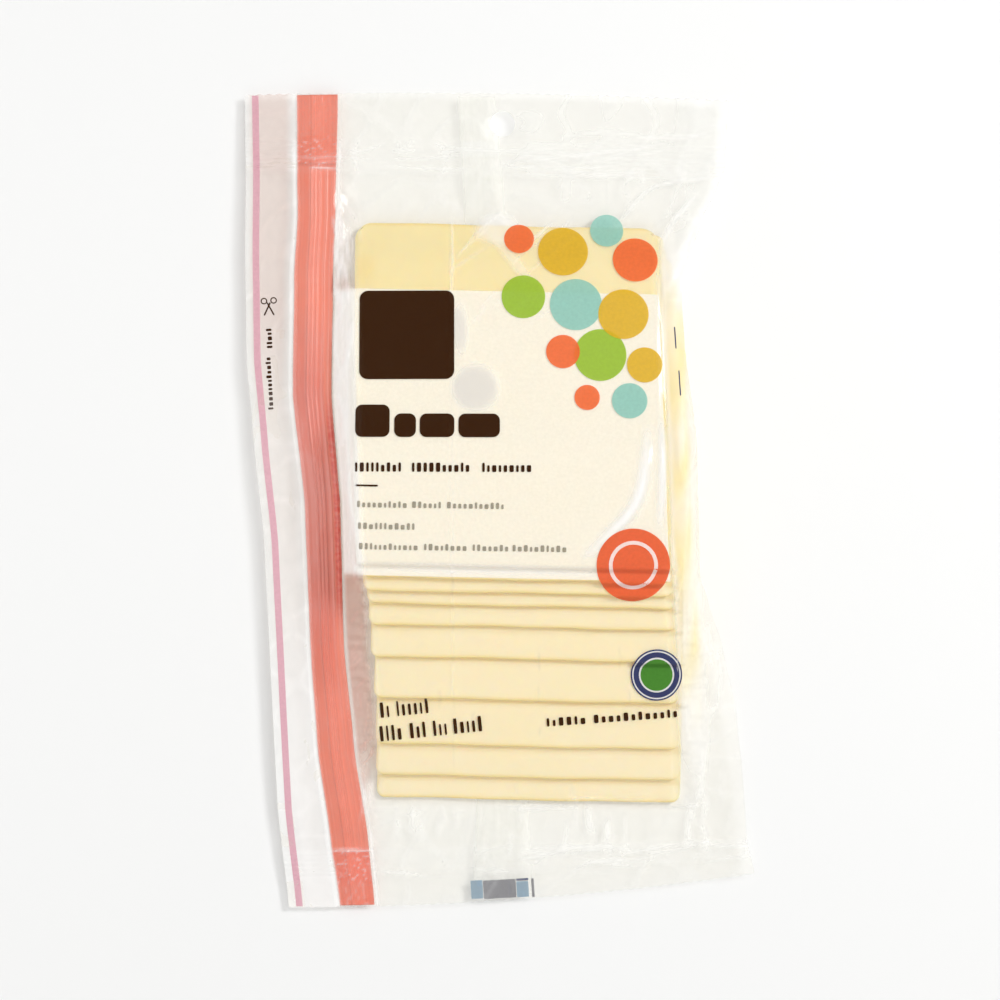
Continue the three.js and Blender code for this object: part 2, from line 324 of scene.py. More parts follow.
    def row_of(self, x: Array, y: Array) -> Array:
        """Finds the cross lines on which points lie.

        Args:
            x: Places across the pack.
            y: Places along the pack.

        Returns:
            The cross lines.
        """
        row = np.array(y, float)
        for _ in range(5):
            row = row + (y - self.cross_line(row, x))
        return row

    def support(self, row: Array, first: int) -> Array:
        """Works out how high the slices from one on stand under it.

        Args:
            row: Cross lines.
            first: The number of the highest slice that counts.

        Returns:
            The height of those slices, soft where they end.
        """
        height = np.zeros_like(row)
        for number, (edge, length) in enumerate(zip(self.slice_edges, self.slice_lengths)):
            if number >= first:
                upper = edge + length + (self.drape_run / 2 if number == 0 else 0.0)
                height += smooth(row, edge - self.step_run, edge)
                height -= smooth(row, upper - self.drape_run / 2, upper + self.drape_run / 2)
        return height * self.slice_thickness

    def end_share(self, row: Array) -> Array:
        """Works out how fully the level of the flat ends holds.

        Args:
            row: Cross lines.

        Returns:
            0 where slices lie, 1 from the seals on.
        """
        stack_top = self.top_slice_edge + self.slice_lengths[0]
        last = self.slice_edges[-1]
        top = smooth(row, stack_top - 2, self.top_seal[0])
        return top + 1 - smooth(row, self.bottom_seal[1], last + 1)

    def sealed(self, row: Array) -> Array:
        """Returns 1 in the ribbed seals, 0 elsewhere."""
        seals = (self.bottom_seal, self.top_seal)
        return sum(window(row, low - 0.6, low, high, high + 0.6) for low, high in seals)

    def crushed(self, row: Array) -> Array:
        """Works out how crushed the zipper strip is.

        Args:
            row: Cross lines.

        Returns:
            1 in the seals, less in the lips, 0 between the seals.
        """
        top = smooth(row, self.top_seal[0] + 1.2, self.top_seal[0] + 2.0)
        top = top * (1 - 0.8 * smooth(row, self.top_seal[1] - 1, self.top_seal[1] + 2))
        low = 1 - smooth(row, self.bottom_seal[1] - 0.5, self.bottom_seal[1] + 0.5)
        low = low * (1 - 0.5 * (1 - smooth(row, self.bottom_seal[0] - 3, self.bottom_seal[0])))
        return np.clip(top + low, 0, 1)

    def flat_end(self, row: Array) -> Array:
        """Returns 1 where the two films lie together at the ends, 0 between the seals."""
        low, high = self.bottom_seal[1], self.top_seal[0]
        return smooth(row, high - 1, high + 1) + 1 - smooth(row, low - 1, low + 1)

    def knots(self, row: Array, is_front: bool) -> list[Array]:
        """Finds where cross lines meet a film's lengthwise lines, from left to right.

        Args:
            row: Cross lines.
            is_front: Whether the film is the front one.

        Returns:
            The places of the left edge, the zipper's two edges, the contents' two
            sides and the right edge.
        """
        inner = (self.stack_left, self.stack_right) if is_front else (self.base_left, self.base_right)
        lines = (self.left_edge, self.zipper_left, self.zipper_right, *inner, self.right_edge)
        return [self.meet(row, line) for line in lines]

    def levels(self, row: Array, shift: float) -> list[Array]:
        """Works out how high a film lies beside the contents.

        Args:
            row: Cross lines.
            shift: How far the film lies over the middle between the two films.

        Returns:
            The levels at the left edge, the zipper's two edges and the right edge.
        """
        curves = (self.left_level, self.zipper_left_level, self.zipper_right_level, self.right_level)
        return [curve(row) + shift for curve in curves]

    def bulge(self, row: Array, across_zip: Array) -> Array:
        """Returns how far a film bulges out over the zipper strip, less at the flat ends."""
        arch = np.sin(math.pi * across_zip) ** 0.5
        return self.zipper_bulge * (1 - 0.65 * self.flat_end(row)) * arch

    def seal_ribs(self, row: Array) -> Array:
        """Returns the height of the seals' cross ribs."""
        wave = np.cos(2 * math.pi * row / self.seal_rib_pitch)
        return self.sealed(row) * self.seal_rib_height * wave

    def stack_top(self, x: Array, row: Array, left: Array, right: Array) -> Array:
        """Works out the film's height over the slices.

        Args:
            x: Places across the pack.
            row: Cross lines.
            left: The left shoulder at each row.
            right: The right shoulder at each row.

        Returns:
            The film's height.
        """
        height = self.support(row, 0)
        from_side = np.minimum(x - left, right - x)
        soft = np.clip(height / (2 * self.slice_thickness), 0, 1)
        drop = self.shoulder_drop * (1 - smooth(from_side, 0, self.shoulder)) * soft
        return self.lowest_cheese + height + self.film_clearance - drop

    def front(self, x: Array, row: Array) -> Array:
        """Works out the height of the front film before its folds.

        Args:
            x: Places across the pack.
            row: Cross lines.

        Returns:
            The film's height.
        """
        left, zip_left, zip_right, stack_left, stack_right, right = self.knots(row, True)
        half_gap = self.layer_gap / 2
        lip = self.lip_level * self.end_share(row) + half_gap

        def over(at: Array, ahead: float = 0.0) -> Array:
            return np.maximum(self.stack_top(at, row + ahead, stack_left, stack_right), lip)

        def beside(at: Array, away: Array) -> Array:
            """Returns the film's level beside the stack, where it spans the slices' steps."""
            spanned = sum(over(at, ahead) for ahead in (-6.0, -3.0, 3.0, 6.0)) / 4
            return mix(over(at), spanned, smooth(away, 0.0, 0.22))

        at_left, at_zip_left, at_zip_right, at_right = self.levels(row, half_gap)
        across_zip = part_way(x, zip_left, zip_right)
        wall_left = part_way(x, zip_right, stack_left)
        wall_right = part_way(x, stack_right, right)
        height = np.select(
            [x < zip_left, x < zip_right, x < stack_left, x <= stack_right],
            [mix(at_left, at_zip_left, part_way(x, left, zip_left)),
             mix(at_zip_left, at_zip_right, across_zip) + self.bulge(row, across_zip),
             mix(at_zip_right, beside(stack_left, 1 - wall_left), wall_left),
             over(x)],
            default=mix(beside(stack_right, wall_right), at_right, wall_right ** 0.85),
        )
        return height + self.seal_ribs(row)

    def back(self, x: Array, row: Array) -> Array:
        """Works out the height of the back film before its folds.

        Args:
            x: Places across the pack.
            row: Cross lines.

        Returns:
            The film's height, flat where the slices lie on it.
        """
        left, zip_left, zip_right, base_left, base_right, right = self.knots(row, False)
        half_gap = self.layer_gap / 2
        base = np.maximum(self.floor_gap, self.lip_level * self.end_share(row) - half_gap)
        at_left, at_zip_left, at_zip_right, at_right = self.levels(row, -half_gap)
        across_zip = part_way(x, zip_left, zip_right)
        height = np.select(
            [x < zip_left, x < zip_right, x < base_left, x <= base_right],
            [mix(at_left, at_zip_left, part_way(x, left, zip_left)),
             mix(at_zip_left, at_zip_right, across_zip) - self.bulge(row, across_zip),
             mix(at_zip_right, base, part_way(x, zip_right, base_left)),
             base],
            default=mix(base, at_right, part_way(x, base_right, right)),
        )
        return height + self.seal_ribs(row)


def scattered(draw: random.Random, count: int, x: Range, y: Range, turn: Range, length: Range,
              half_width: Range, height: Range, haze: float) -> list[Fold]:
    """Draws short folds at random in a region.

    Args:
        draw: The source of random numbers.
        count: The number of folds.
        x: The region's reach across the pack.
        y: The region's reach along the pack.
        turn: The folds' least and greatest angle from the cross direction, in degrees.
        length: Their least and greatest length.
        half_width: Their least and greatest half width.
        height: Their least and greatest height.
        haze: How white the film turns on them, partly whitened film and partly painted glints.

    Returns:
        The folds.
    """
    folds = []
    for _ in range(count):
        middle = Vector((draw.uniform(*x), draw.uniform(*y)))
        angle = math.radians(draw.uniform(*turn))
        half = 0.5 * draw.uniform(*length)
        ahead = Vector((math.cos(angle), math.sin(angle)))
        bow = Vector((-ahead.y, ahead.x)) * draw.uniform(-0.15, 0.15) * half
        route = (middle - ahead * half, middle + bow, middle + ahead * half)
        folds.append(Fold(bent(tuple(tuple(p) for p in route), 3), draw.uniform(*half_width),
                          draw.uniform(*height), haze))
    return folds


@dataclass(frozen=True)
class FilmFolds:
    """The folds of the front film: the few large ones by place, the many small ones by rule."""

    seed: int = 23
    stack_fold: Route = ((44.5, 18.0), (43.7, 11.4), (42.1, 1.8), (40.1, -4.0), (36.7, -8.9),
                         (32.1, -13.1), (27.5, -17.4), (23.0, -20.3))
    long_crease: Route = ((-10.6, 82.0), (-12.8, 27.8), (-14.8, -19.5), (-16.5, -60.9),
                          (-17.8, -92.0))
    tent: Route = ((-1.0, 84.0), (3.3, 74.5), (10.4, 64.0), (13.0, 58.0))

    def large(self) -> list[Fold]:
        """Returns the folds that stand out one by one."""
        beside = tuple((x - 2.1, y + 0.7) for x, y in self.stack_fold)
        return [
            Fold(bent(self.stack_fold), 1.8, 1.0, 1.0),
            Fold(bent(beside), 0.7, -0.14, 0.0),
            Fold(bent(self.long_crease), 0.45, 0.16, 0.12),
            Fold(bent(((-11.0, 84.0), (-11.4, 70.0), (-12.0, 56.0))), 0.4, 0.2, 0.5),
            Fold(bent(self.tent), 2.2, 0.4, 0.1),
            Fold(bent(((-42.0, -20.4), (-4.0, -22.6), (34.0, -25.2))), 1.3, 0.12, 0.5),
            Fold(bent(((48.5, 20.0), (48.3, 8.9), (47.4, -4.3), (46.0, -12.5))), 1.2, 0.5, 0.9),
            Fold(bent(((49.4, -14.0), (50.2, -20.0), (49.0, -26.5))), 0.5, 0.35, 0.3),
            Fold(bent(((49.6, 66.0), (50.4, 44.0), (50.0, 26.0))), 0.6, 0.35, 0.5),
            Fold(bent(((-43.2, 60.0), (-44.3, 30.0), (-44.9, 0.0), (-44.2, -22.0))), 0.6, 0.3, 0.3),
            Fold(bent(((-41.6, 53.1), (-43.2, 44.7), (-46.4, 35.5))), 0.8, 0.4, 0.8),
            Fold(bent(((-47.0, 31.5), (-45.6, 24.5), (-46.2, 15.5))), 0.7, 0.4, 0.85),
            Fold(bent(((-45.2, 9.0), (-44.4, -2.0), (-42.6, -12.0))), 0.7, 0.3, 0.6),
            Fold(bent(((38.0, 79.0), (50.0, 90.0), (69.0, 92.5))), 0.5, 0.3, 0.25),
            Fold(bent(((52.0, 72.0), (56.0, 80.0), (64.0, 88.0))), 0.7, 0.3, 0.3),
            Fold(bent(((-45.0, 92.0), (-40.0, 84.0), (-38.0, 76.0))), 0.8, 0.3, 0.2),
            Fold(bent(((-42.0, 104.0), (0.0, 103.0), (40.0, 99.5), (71.5, 96.0))), 0.35, 0.1, 0.08),
            Fold(bent(((-58.5, 101.6), (-51.0, 101.2), (-43.5, 100.4))), 0.3, -0.25, 0.0),
            Fold(bent(((-53.5, 100.3), (-49.0, 100.0), (-44.5, 99.5))), 0.35, 0.35, 0.5),
            Fold(bent(((-55.5, -105.6), (-49.0, -105.8), (-42.5, -106.3))), 0.35, 0.35, 0.7),
            Fold(bent(((-55.5, -108.6), (-49.0, -108.9), (-42.5, -109.5))), 0.3, -0.25, 0.0),
        ]

    def small(self) -> list[Fold]:
        """Returns the many small folds: at the seals, the stack's corners and its upper end."""
        draw = random.Random(self.seed)
        regions = (  # count, x, y, turn, length, half width, height, haze
            (16, (-38, 66), (87, 95), (75, 105), (4, 12), (0.6, 1.3), (0.05, 0.16), 0.06),
            (22, (-58, 70), (96, 106), (-12, 12), (8, 34), (0.3, 0.5), (0.04, 0.1), 0.14),
            (26, (-38, 60), (-106, -95), (75, 105), (6, 16), (0.5, 1.1), (0.06, 0.2), 0.16),
            (16, (-40, 66), (-115, -107), (-12, 12), (8, 26), (0.3, 0.5), (0.05, 0.14), 0.16),
            (14, (-8, 24), (50, 80), (32, 50), (8, 22), (0.3, 0.6), (0.08, 0.2), 0.24),
            (8, (-66, -60), (-105, 92), (80, 100), (20, 60), (1.2, 2.4), (0.1, 0.3), 0.06),
            (30, (-46.5, -42), (58, 84), (75, 100), (5, 16), (0.3, 0.6), (0.15, 0.4), 0.35),
            (18, (-47, -42), (-92, 56), (80, 100), (5, 18), (0.3, 0.6), (0.1, 0.3), 0.25),
            (22, (-47, -41), (-84, -24), (40, 130), (2, 6), (0.25, 0.5), (0.1, 0.3), 0.3),
            (18, (52, 60), (-90, 20), (78, 100), (8, 26), (0.4, 0.9), (0.1, 0.35), 0.2),
            (12, (56, 68), (-104, -30), (78, 108), (10, 34), (0.8, 1.8), (0.1, 0.35), 0.1),
            (8, (-30, 46), (-94, -30), (75, 105), (3, 9), (0.3, 0.6), (0.03, 0.1), 0.1),
            (14, (-40, 52), (-97, -94), (-6, 6), (5, 22), (0.3, 0.5), (0.1, 0.3), 0.25),
            (8, (52, 66), (62, 92), (30, 75), (8, 22), (0.6, 1.4), (0.1, 0.3), 0.12),
        )
        return [fold for region in regions for fold in scattered(draw, *region)]


@dataclass(frozen=True)
class FilmMilk:
    """How milky the film is, by cause, as shares of full white, and where along the pack."""

    clear: float = 0.004
    loose: float = 0.06
    sealed: float = 0.05
    flat_end: float = 0.06
    crumpled: float = 0.09
    margin: float = 0.64
    margin_drop: float = 0.28
    by_zipper: float = 0.3
    by_zipper_in_panel: float = 0.3
    by_zipper_in_gap: float = 0.35
    over_eye: float = 0.85
    over_tent: float = 0.5
    right_wall: float = 0.5
    upper_right: float = 0.1
    over_zipper: float = 0.25
    zipper_edge: float = 0.42
    # Milk on the crests of crushed film: partly whitened film, partly painted glints.
    crushed: float = 0.3
    most: float = 0.95
    panel_rows: Window = (-27.0, -24.0, 58.0, 62.0)
    gap_rows: Window = (-86.0, -74.0, -27.0, -24.0)
    stack_rows: Window = (-98.0, -60.0, 66.0, 84.0)


class FilmSurface:
    """The films' surfaces with all their folds, on which the print lies too."""

    def __init__(self, form: PackForm, folds: FilmFolds, milk: FilmMilk) -> None:
        """Keeps the form and draws the folds.

        Args:
            form: The pack's form.
            folds: The film's folds.
            milk: How milky the film is.
        """
        self.form = form
        self.milk = milk
        self.folds = folds.large() + folds.small()

    def looseness(self, x: Array, row: Array) -> Array:
        """Works out how loose the film is.

        Args:
            x: Places across the pack.
            row: Cross lines.

        Returns:
            0 where the film is drawn over the slices, 1 at the ends and wings.
        """
        form = self.form
        left = form.meet(row, form.stack_left)
        right = form.meet(row, form.stack_right)
        beside = 1 - window(x, left - 4, left, right, right + 4)
        stack_top = form.top_slice_edge + form.slice_lengths[0]
        beyond = smooth(row, stack_top - 4, stack_top + 6) + 1 - smooth(row, -100.0, -92.0)
        return np.clip(beside + beyond, 0, 1)

    def height(self, x: Array, y: Array) -> Array:
        """Works out the film's height at places of the pack.

        Args:
            x: Places across the pack.
            y: Places along the pack.

        Returns:
            The heights, folds and crinkles counted.
        """
        row = self.form.row_of(x, y)
        height = self.form.front(x, row)
        for fold in self.folds:
            height += fold.height * fold.strength(x, y)
        loose = self.looseness(x, row) * (1 - 0.8 * self.form.sealed(row))
        height -= 0.25 * self.eye(x, y)
        crinkles = 0.07 * crumple(x, y, 24.0, 3, 2.2) + 0.012 * crumple(x, y, 7.0, 8, 1.5)
        height += loose * crinkles
        return height + self.zipper_crush(x, y, row)

    def tent_cloud(self, x: Array, y: Array) -> Array:
        """Finds where the film stands off the top slice's upper end as a small tent.

        Args:
            x: Places across the pack.
            y: Places along the pack.

        Returns:
            1 on the tent, less on its flank, 0 elsewhere.
        """
        top = 1 - smooth(np.hypot((x - 2.5) / 9.0, (y - 79.5) / 6.5), 0.4, 1.0)
        across = (x - 4.0) * 0.83 + (y - 74.0) * 0.56
        along = (y - 74.0) * 0.83 - (x - 4.0) * 0.56
        flank = (1 - smooth(np.abs(across), 0.8, 2.6)) * (1 - smooth(np.abs(along + 4.0), 5.0, 10.0))
        return np.clip(top + 0.45 * flank, 0, 1)

    def eye(self, x: Array, y: Array) -> Array:
        """Finds where the film is sucked into the eye of the top slice.

        Args:
            x: Places across the pack.
            y: Places along the pack.

        Returns:
            1 in the eye, less in its upper end, 0 elsewhere.
        """
        form = self.form
        around = np.hypot(x - form.eye_x, y - form.eye_y) / form.eye_radius
        upper = np.hypot((x + 9.5) / 2.2, (y - 49.0) / 8.0)
        return np.maximum(1 - smooth(around, 0.6, 1.15), 0.8 * (1 - smooth(upper, 0.5, 1.3)))

    def zipper_crush(self, x: Array, y: Array, row: Array) -> Array:
        """Works out the crumpled relief where the seals press the zipper strip flat.

        Args:
            x: Places across the pack.
            y: Places along the pack.
            row: Their cross lines.

        Returns:
            The relief.
        """
        form = self.form
        crushed = self.in_zipper(x, row) * form.crushed(row) + 0.45 * self.worn_edge(x, row)
        return crushed * (0.14 * self.squiggles(x, y) + 0.05 * crumple(x, y, 1.6, 19, 0.5))

    def in_zipper(self, x: Array, row: Array) -> Array:
        """Returns 1 over the zipper strip, 0 beside it."""
        left, right = self.form.knots(row, True)[1:3]
        return window(x, left - 0.3, left + 0.8, right - 0.8, right + 0.3)

    def worn_edge(self, x: Array, row: Array) -> Array:
        """Finds where the film is rubbed, along the middle of the zipper's right edge.

        Args:
            x: Places across the pack.
            row: Their cross lines.

        Returns:
            1 where it is rubbed, 0 elsewhere.
        """
        right = self.form.meet(row, self.form.zipper_right)
        across = window(x, right - 2.6, right - 1.6, right - 0.3, right + 0.4)
        return across * window(row, -42.0, -30.0, 15.0, 24.0)

    def squiggles(self, x: Array, y: Array) -> Array:
        """Returns the fine cross creases of crushed film, from about -1 to 1."""
        return crumple(x, y, 4.6, 17, 0.26)

    def back_height(self, x: Array, row: Array) -> Array:
        """Works out the back film's height.

        Args:
            x: Places across the pack.
            row: Cross lines.

        Returns:
            The heights, crinkles counted, on or over the floor.
        """
        height = self.form.back(x, row)
        loose = self.looseness(x, row) * smooth(height, 0.5, 2.0)
        crinkles = loose * 0.12 * crumple(x, self.form.cross_line(row, x), 13.0, 12)
        return np.maximum(height + crinkles, self.form.floor_gap)

    def haze(self, x: Array, y: Array) -> Array:
        """Works out how milky the film looks, more so where it has folds or lies double.

        Args:
            x: Places across the pack.
            y: Places along the pack.

        Returns:
            Shares from 0, clear, to 1, white.
        """
        form, milk = self.form, self.milk
        row = form.row_of(x, y)
        _, zip_left, zip_right, _, stack_right, _ = form.knots(row, True)
        in_zipper = self.in_zipper(x, row)
        loose = self.looseness(x, row)
        by_stack = window(row, *milk.stack_rows)
        haze = milk.clear + loose * (milk.loose + milk.sealed * form.sealed(row)
                                     + milk.flat_end * form.flat_end(row))
        margin = 1 - smooth(x, zip_left - 0.5, zip_left + 0.5)
        haze += (milk.margin - milk.margin_drop * smooth(row, -75, -10)) * margin
        by_zipper = window(x, zip_right, zip_right + 1.5, zip_right + 5, zip_right + 9) * by_stack
        haze += by_zipper * (milk.by_zipper + milk.by_zipper_in_panel * window(row, *milk.panel_rows)
                             + milk.by_zipper_in_gap * window(row, *milk.gap_rows))
        right_wall = smooth(x, stack_right - 1.5, stack_right + 0.5) * by_stack
        right_wall = right_wall * (1 - 0.9 * smooth(x, stack_right + 5.5, stack_right + 9.0))
        haze += milk.right_wall * right_wall
        haze += milk.over_eye * self.eye(x, y) + milk.over_tent * self.tent_cloud(x, y)
        haze += milk.upper_right * smooth(x, 6.0, 16.0) * smooth(row, 56.0, 62.0)
        wing = smooth(x, stack_right + 4.0, stack_right + 10.0)
        haze += milk.upper_right * wing * smooth(row, 40.0, 60.0)
        haze += milk.crumpled * loose * np.clip(crumple(x, y, 15.0, 5, 1.6), 0, 1)
        haze *= 1 - (1 - milk.over_zipper) * in_zipper
        ends = 0.45 + 0.55 * np.clip(smooth(row, 10, 60) + 1 - smooth(row, -110, -70), 0, 1)
        for edge in (zip_left - 0.8, zip_right + 0.9):
            line = np.exp(-((x - edge) / 0.45) ** 2) * (1 - smooth(row, 100, 108))
            haze = haze + milk.zipper_edge * ends * line
        # Partly whitened film and partly painted glints on the crests of the crushed film over the
        # strip and its rubbed edge.
        crushed = in_zipper * form.crushed(row) + 0.3 * self.worn_edge(x, row)
        haze += milk.crushed * crushed * smooth(self.squiggles(x, y), 0.6, 0.98)
        # Milk along the folds: partly whitened creased film, partly painted highlights.
        for fold in self.folds:
            haze += fold.haze * fold.strength(x, y)
        return np.clip(haze, 0.0, milk.most)


def linear(code: str) -> tuple[float, float, float, float]:
    """Turns an sRGB hex colour into Blender's linear values.

    Args:
        code: The colour as "#rrggbb".

    Returns:
        The linear colour with an alpha of 1.
    """
    parts = [int(code[i:i + 2], 16) / 255 for i in (1, 3, 5)]
    red, green, blue = (p / 12.92 if p <= 0.04045 else ((p + 0.055) / 1.055) ** 2.4 for p in parts)
    return red, green, blue, 1.0


def add_node(tree: bpy.types.NodeTree, kind: str, settings: dict | None = None,
             links: dict | None = None) -> bpy.types.Node:
    """Adds a node with its settings and links.

    Args:
        tree: The material's node tree.
        kind: The node's type.
        settings: Values by property or input name.
        links: Sockets by the name or number of the input that they feed.

    Returns:
        The node.
    """
    node = tree.nodes.new(kind)
    for key, value in (settings or {}).items():
        if isinstance(key, str) and hasattr(node, key) and key not in node.inputs:
            setattr(node, key, value)
        else:
            node.inputs[key].default_value = value
    for key, socket in (links or {}).items():
        tree.links.new(socket, node.inputs[key])
    return node


def new_material(name: str) -> tuple[bpy.types.Material, bpy.types.NodeTree, bpy.types.Node]:
    """Makes an empty material with its output node.

    Args:
        name: The material's name.

    Returns:
        The material, its tree and its output.
    """
    material = bpy.data.materials.new(name)
    material.use_nodes = True
    tree = material.node_tree
    tree.nodes.clear()
    return material, tree, add_node(tree, "ShaderNodeOutputMaterial")


@dataclass(frozen=True)
class ClearFilm:
    """Clear co-extruded film, cast smooth.

    It mirrors lights softly at every fold and turns milky where it is creased,
    crimped or lies double, and part of that milk is painted highlight. The milk
    takes painted pink light from the coral strip and painted shade beside it, a
    painted yellow bounce light beside the slices and painted shade over the eye
    in the top slice.
    """

    name: str = "clear_coextruded_film"
    milk: str = "#fdfdfc"
    # Painted pink light from the coral strip, and painted shade in the gap beside the strip.
    milk_coral_light_and_shade: str = "#d8b3a7"
    # Painted yellow bounce light from the slices' sides.
    milk_painted_cheese_bounce: str = "#fdf0bc"
    # Painted shade over the eye's hollow.
    milk_painted_eye_shade: str = "#e9e5df"
    tint: str = "#fefefd"
    roughness: float = 0.1
    crinkle_mm: float = 3.2
    crinkle_bump: float = 0.05
    cloud_mm: float = 14.0
    glare: float = 0.014
    through: float = 0.2

    def build(self) -> bpy.types.Material:
        """Returns the film's material."""
        material, tree, output = new_material(self.name)
        spot = add_node(tree, "ShaderNodeTexCoord").outputs["Object"]
        haze, painted_coral_light_and_shade, glow, shade = (
            add_node(tree, "ShaderNodeAttribute", {"attribute_name": name}).outputs["Fac"]
            for name in ("haze", "painted_coral_light_and_shade", "glow", "shade"))
        crinkle = add_node(tree, "ShaderNodeTexNoise",
                           {"Scale": 1 / (self.crinkle_mm * MM), "Detail": 3.0, "Distortion": 0.6},
                           {"Vector": spot})
        bump = add_node(tree, "ShaderNodeBump", {"Strength": self.crinkle_bump, "Distance": 0.3 * MM},
                        {"Height": crinkle.outputs["Fac"]}).outputs["Normal"]
        cloud = add_node(tree, "ShaderNodeTexNoise", {"Scale": 1 / (self.cloud_mm * MM), "Detail": 2.0},
                         {"Vector": spot}).outputs["Fac"]
        milky = add_node(tree, "ShaderNodeMath", {"operation": "MULTIPLY_ADD", 1: 0.10, 2: -0.05},
                         {0: cloud})
        share = add_node(tree, "ShaderNodeMath", {"operation": "ADD", "use_clamp": True},
                         {0: haze, 1: milky.outputs[0]}).outputs[0]
        # The milk's tone: painted pink coral light and gap shade, painted yellow bounce light from the
        # slices, painted shade over the eye.
        tone = add_node(tree, "ShaderNodeMix", {"data_type": "RGBA", 6: linear(self.milk),
                                                7: linear(self.milk_coral_light_and_shade)}, {0: painted_coral_light_and_shade}).outputs[2]
        for colour, part in ((self.milk_painted_cheese_bounce, glow), (self.milk_painted_eye_shade, shade)):
            tone = add_node(tree, "ShaderNodeMix", {"data_type": "RGBA", 7: linear(colour)},
                            {0: part, 6: tone}).outputs[2]
        lit = add_node(tree, "ShaderNodeBsdfPrincipled", {"Roughness": 0.6, "Specular IOR Level": 0.0},
                       {"Base Color": tone, "Normal": bump})
        lit_through = add_node(tree, "ShaderNodeBsdfTranslucent", {}, {"Color": tone})
        milk = add_node(tree, "ShaderNodeMixShader", {0: self.through},
                        {1: lit.outputs[0], 2: lit_through.outputs[0]})
        clear = add_node(tree, "ShaderNodeBsdfTransparent", {"Color": linear(self.tint)})
        body = add_node(tree, "ShaderNodeMixShader", {},
                        {0: share, 1: clear.outputs[0], 2: milk.outputs[0]})
        gloss = add_node(tree, "ShaderNodeBsdfGlossy", {"Roughness": self.roughness},
                         {"Normal": bump})
        facing = add_node(tree, "ShaderNodeLayerWeight", {"Blend": 0.5}, {"Normal": bump})
        steep = add_node(tree, "ShaderNodeMath", {"operation": "POWER", 1: 5.0},
                         {0: facing.outputs["Facing"]})
        glare = add_node(tree, "ShaderNodeMath", {"operation": "MULTIPLY_ADD", "use_clamp": True,
                                                  1: 0.9, 2: self.glare}, {0: steep.outputs[0]})
        shader = add_node(tree, "ShaderNodeMixShader", {},
                          {0: glare.outputs[0], 1: body.outputs[0], 2: gloss.outputs[0]})
        tree.links.new(shader.outputs[0], output.inputs["Surface"])
        return material


@dataclass(frozen=True)
class PrintedInk:
    """Flexographic ink on film, laid down thin.

    Its tone is a little uneven, and what lies under it shows through.
    """

    name: str
    colour: str
    opacity: float
    mottle: float = 0.06
    grain_mm: float = 0.9
    roughness: float = 0.32
    through: float = 0.12

    def build(self) -> bpy.types.Material:
        """Returns the ink's material."""
        material, tree, output = new_material(self.name)
        spot = add_node(tree, "ShaderNodeTexCoord").outputs["Object"]
        grain = add_node(tree, "ShaderNodeTexNoise", {"Scale": 1 / (self.grain_mm * MM), "Detail": 3.0},
                         {"Vector": spot}).outputs["Fac"]
        cover = add_node(tree, "ShaderNodeMath",
                         {"operation": "MULTIPLY_ADD", "use_clamp": True, 1: 2 * self.mottle,
                          2: self.opacity - self.mottle}, {0: grain}).outputs[0]
        value = add_node(tree, "ShaderNodeMath", {"operation": "MULTIPLY_ADD", 1: 0.10, 2: 0.95},
                         {0: grain})
        shade = add_node(tree, "ShaderNodeHueSaturation", {"Color": linear(self.colour)},
                         {"Value": value.outputs[0]}).outputs[0]
        ink = add_node(tree, "ShaderNodeBsdfPrincipled",
                       {"Roughness": self.roughness, "IOR": 1.45, "Specular IOR Level": 0.05},
                       {"Base Color": shade})
        glow = add_node(tree, "ShaderNodeBsdfTranslucent", {}, {"Color": shade})
        layer = add_node(tree, "ShaderNodeMixShader", {0: self.through},
                         {1: ink.outputs[0], 2: glow.outputs[0]})
        clear = add_node(tree, "ShaderNodeBsdfTransparent")
        shader = add_node(tree, "ShaderNodeMixShader", {},
                          {0: cover, 1: clear.outputs[0], 2: layer.outputs[0]})
        tree.links.new(shader.outputs[0], output.inputs["Surface"])
        return material


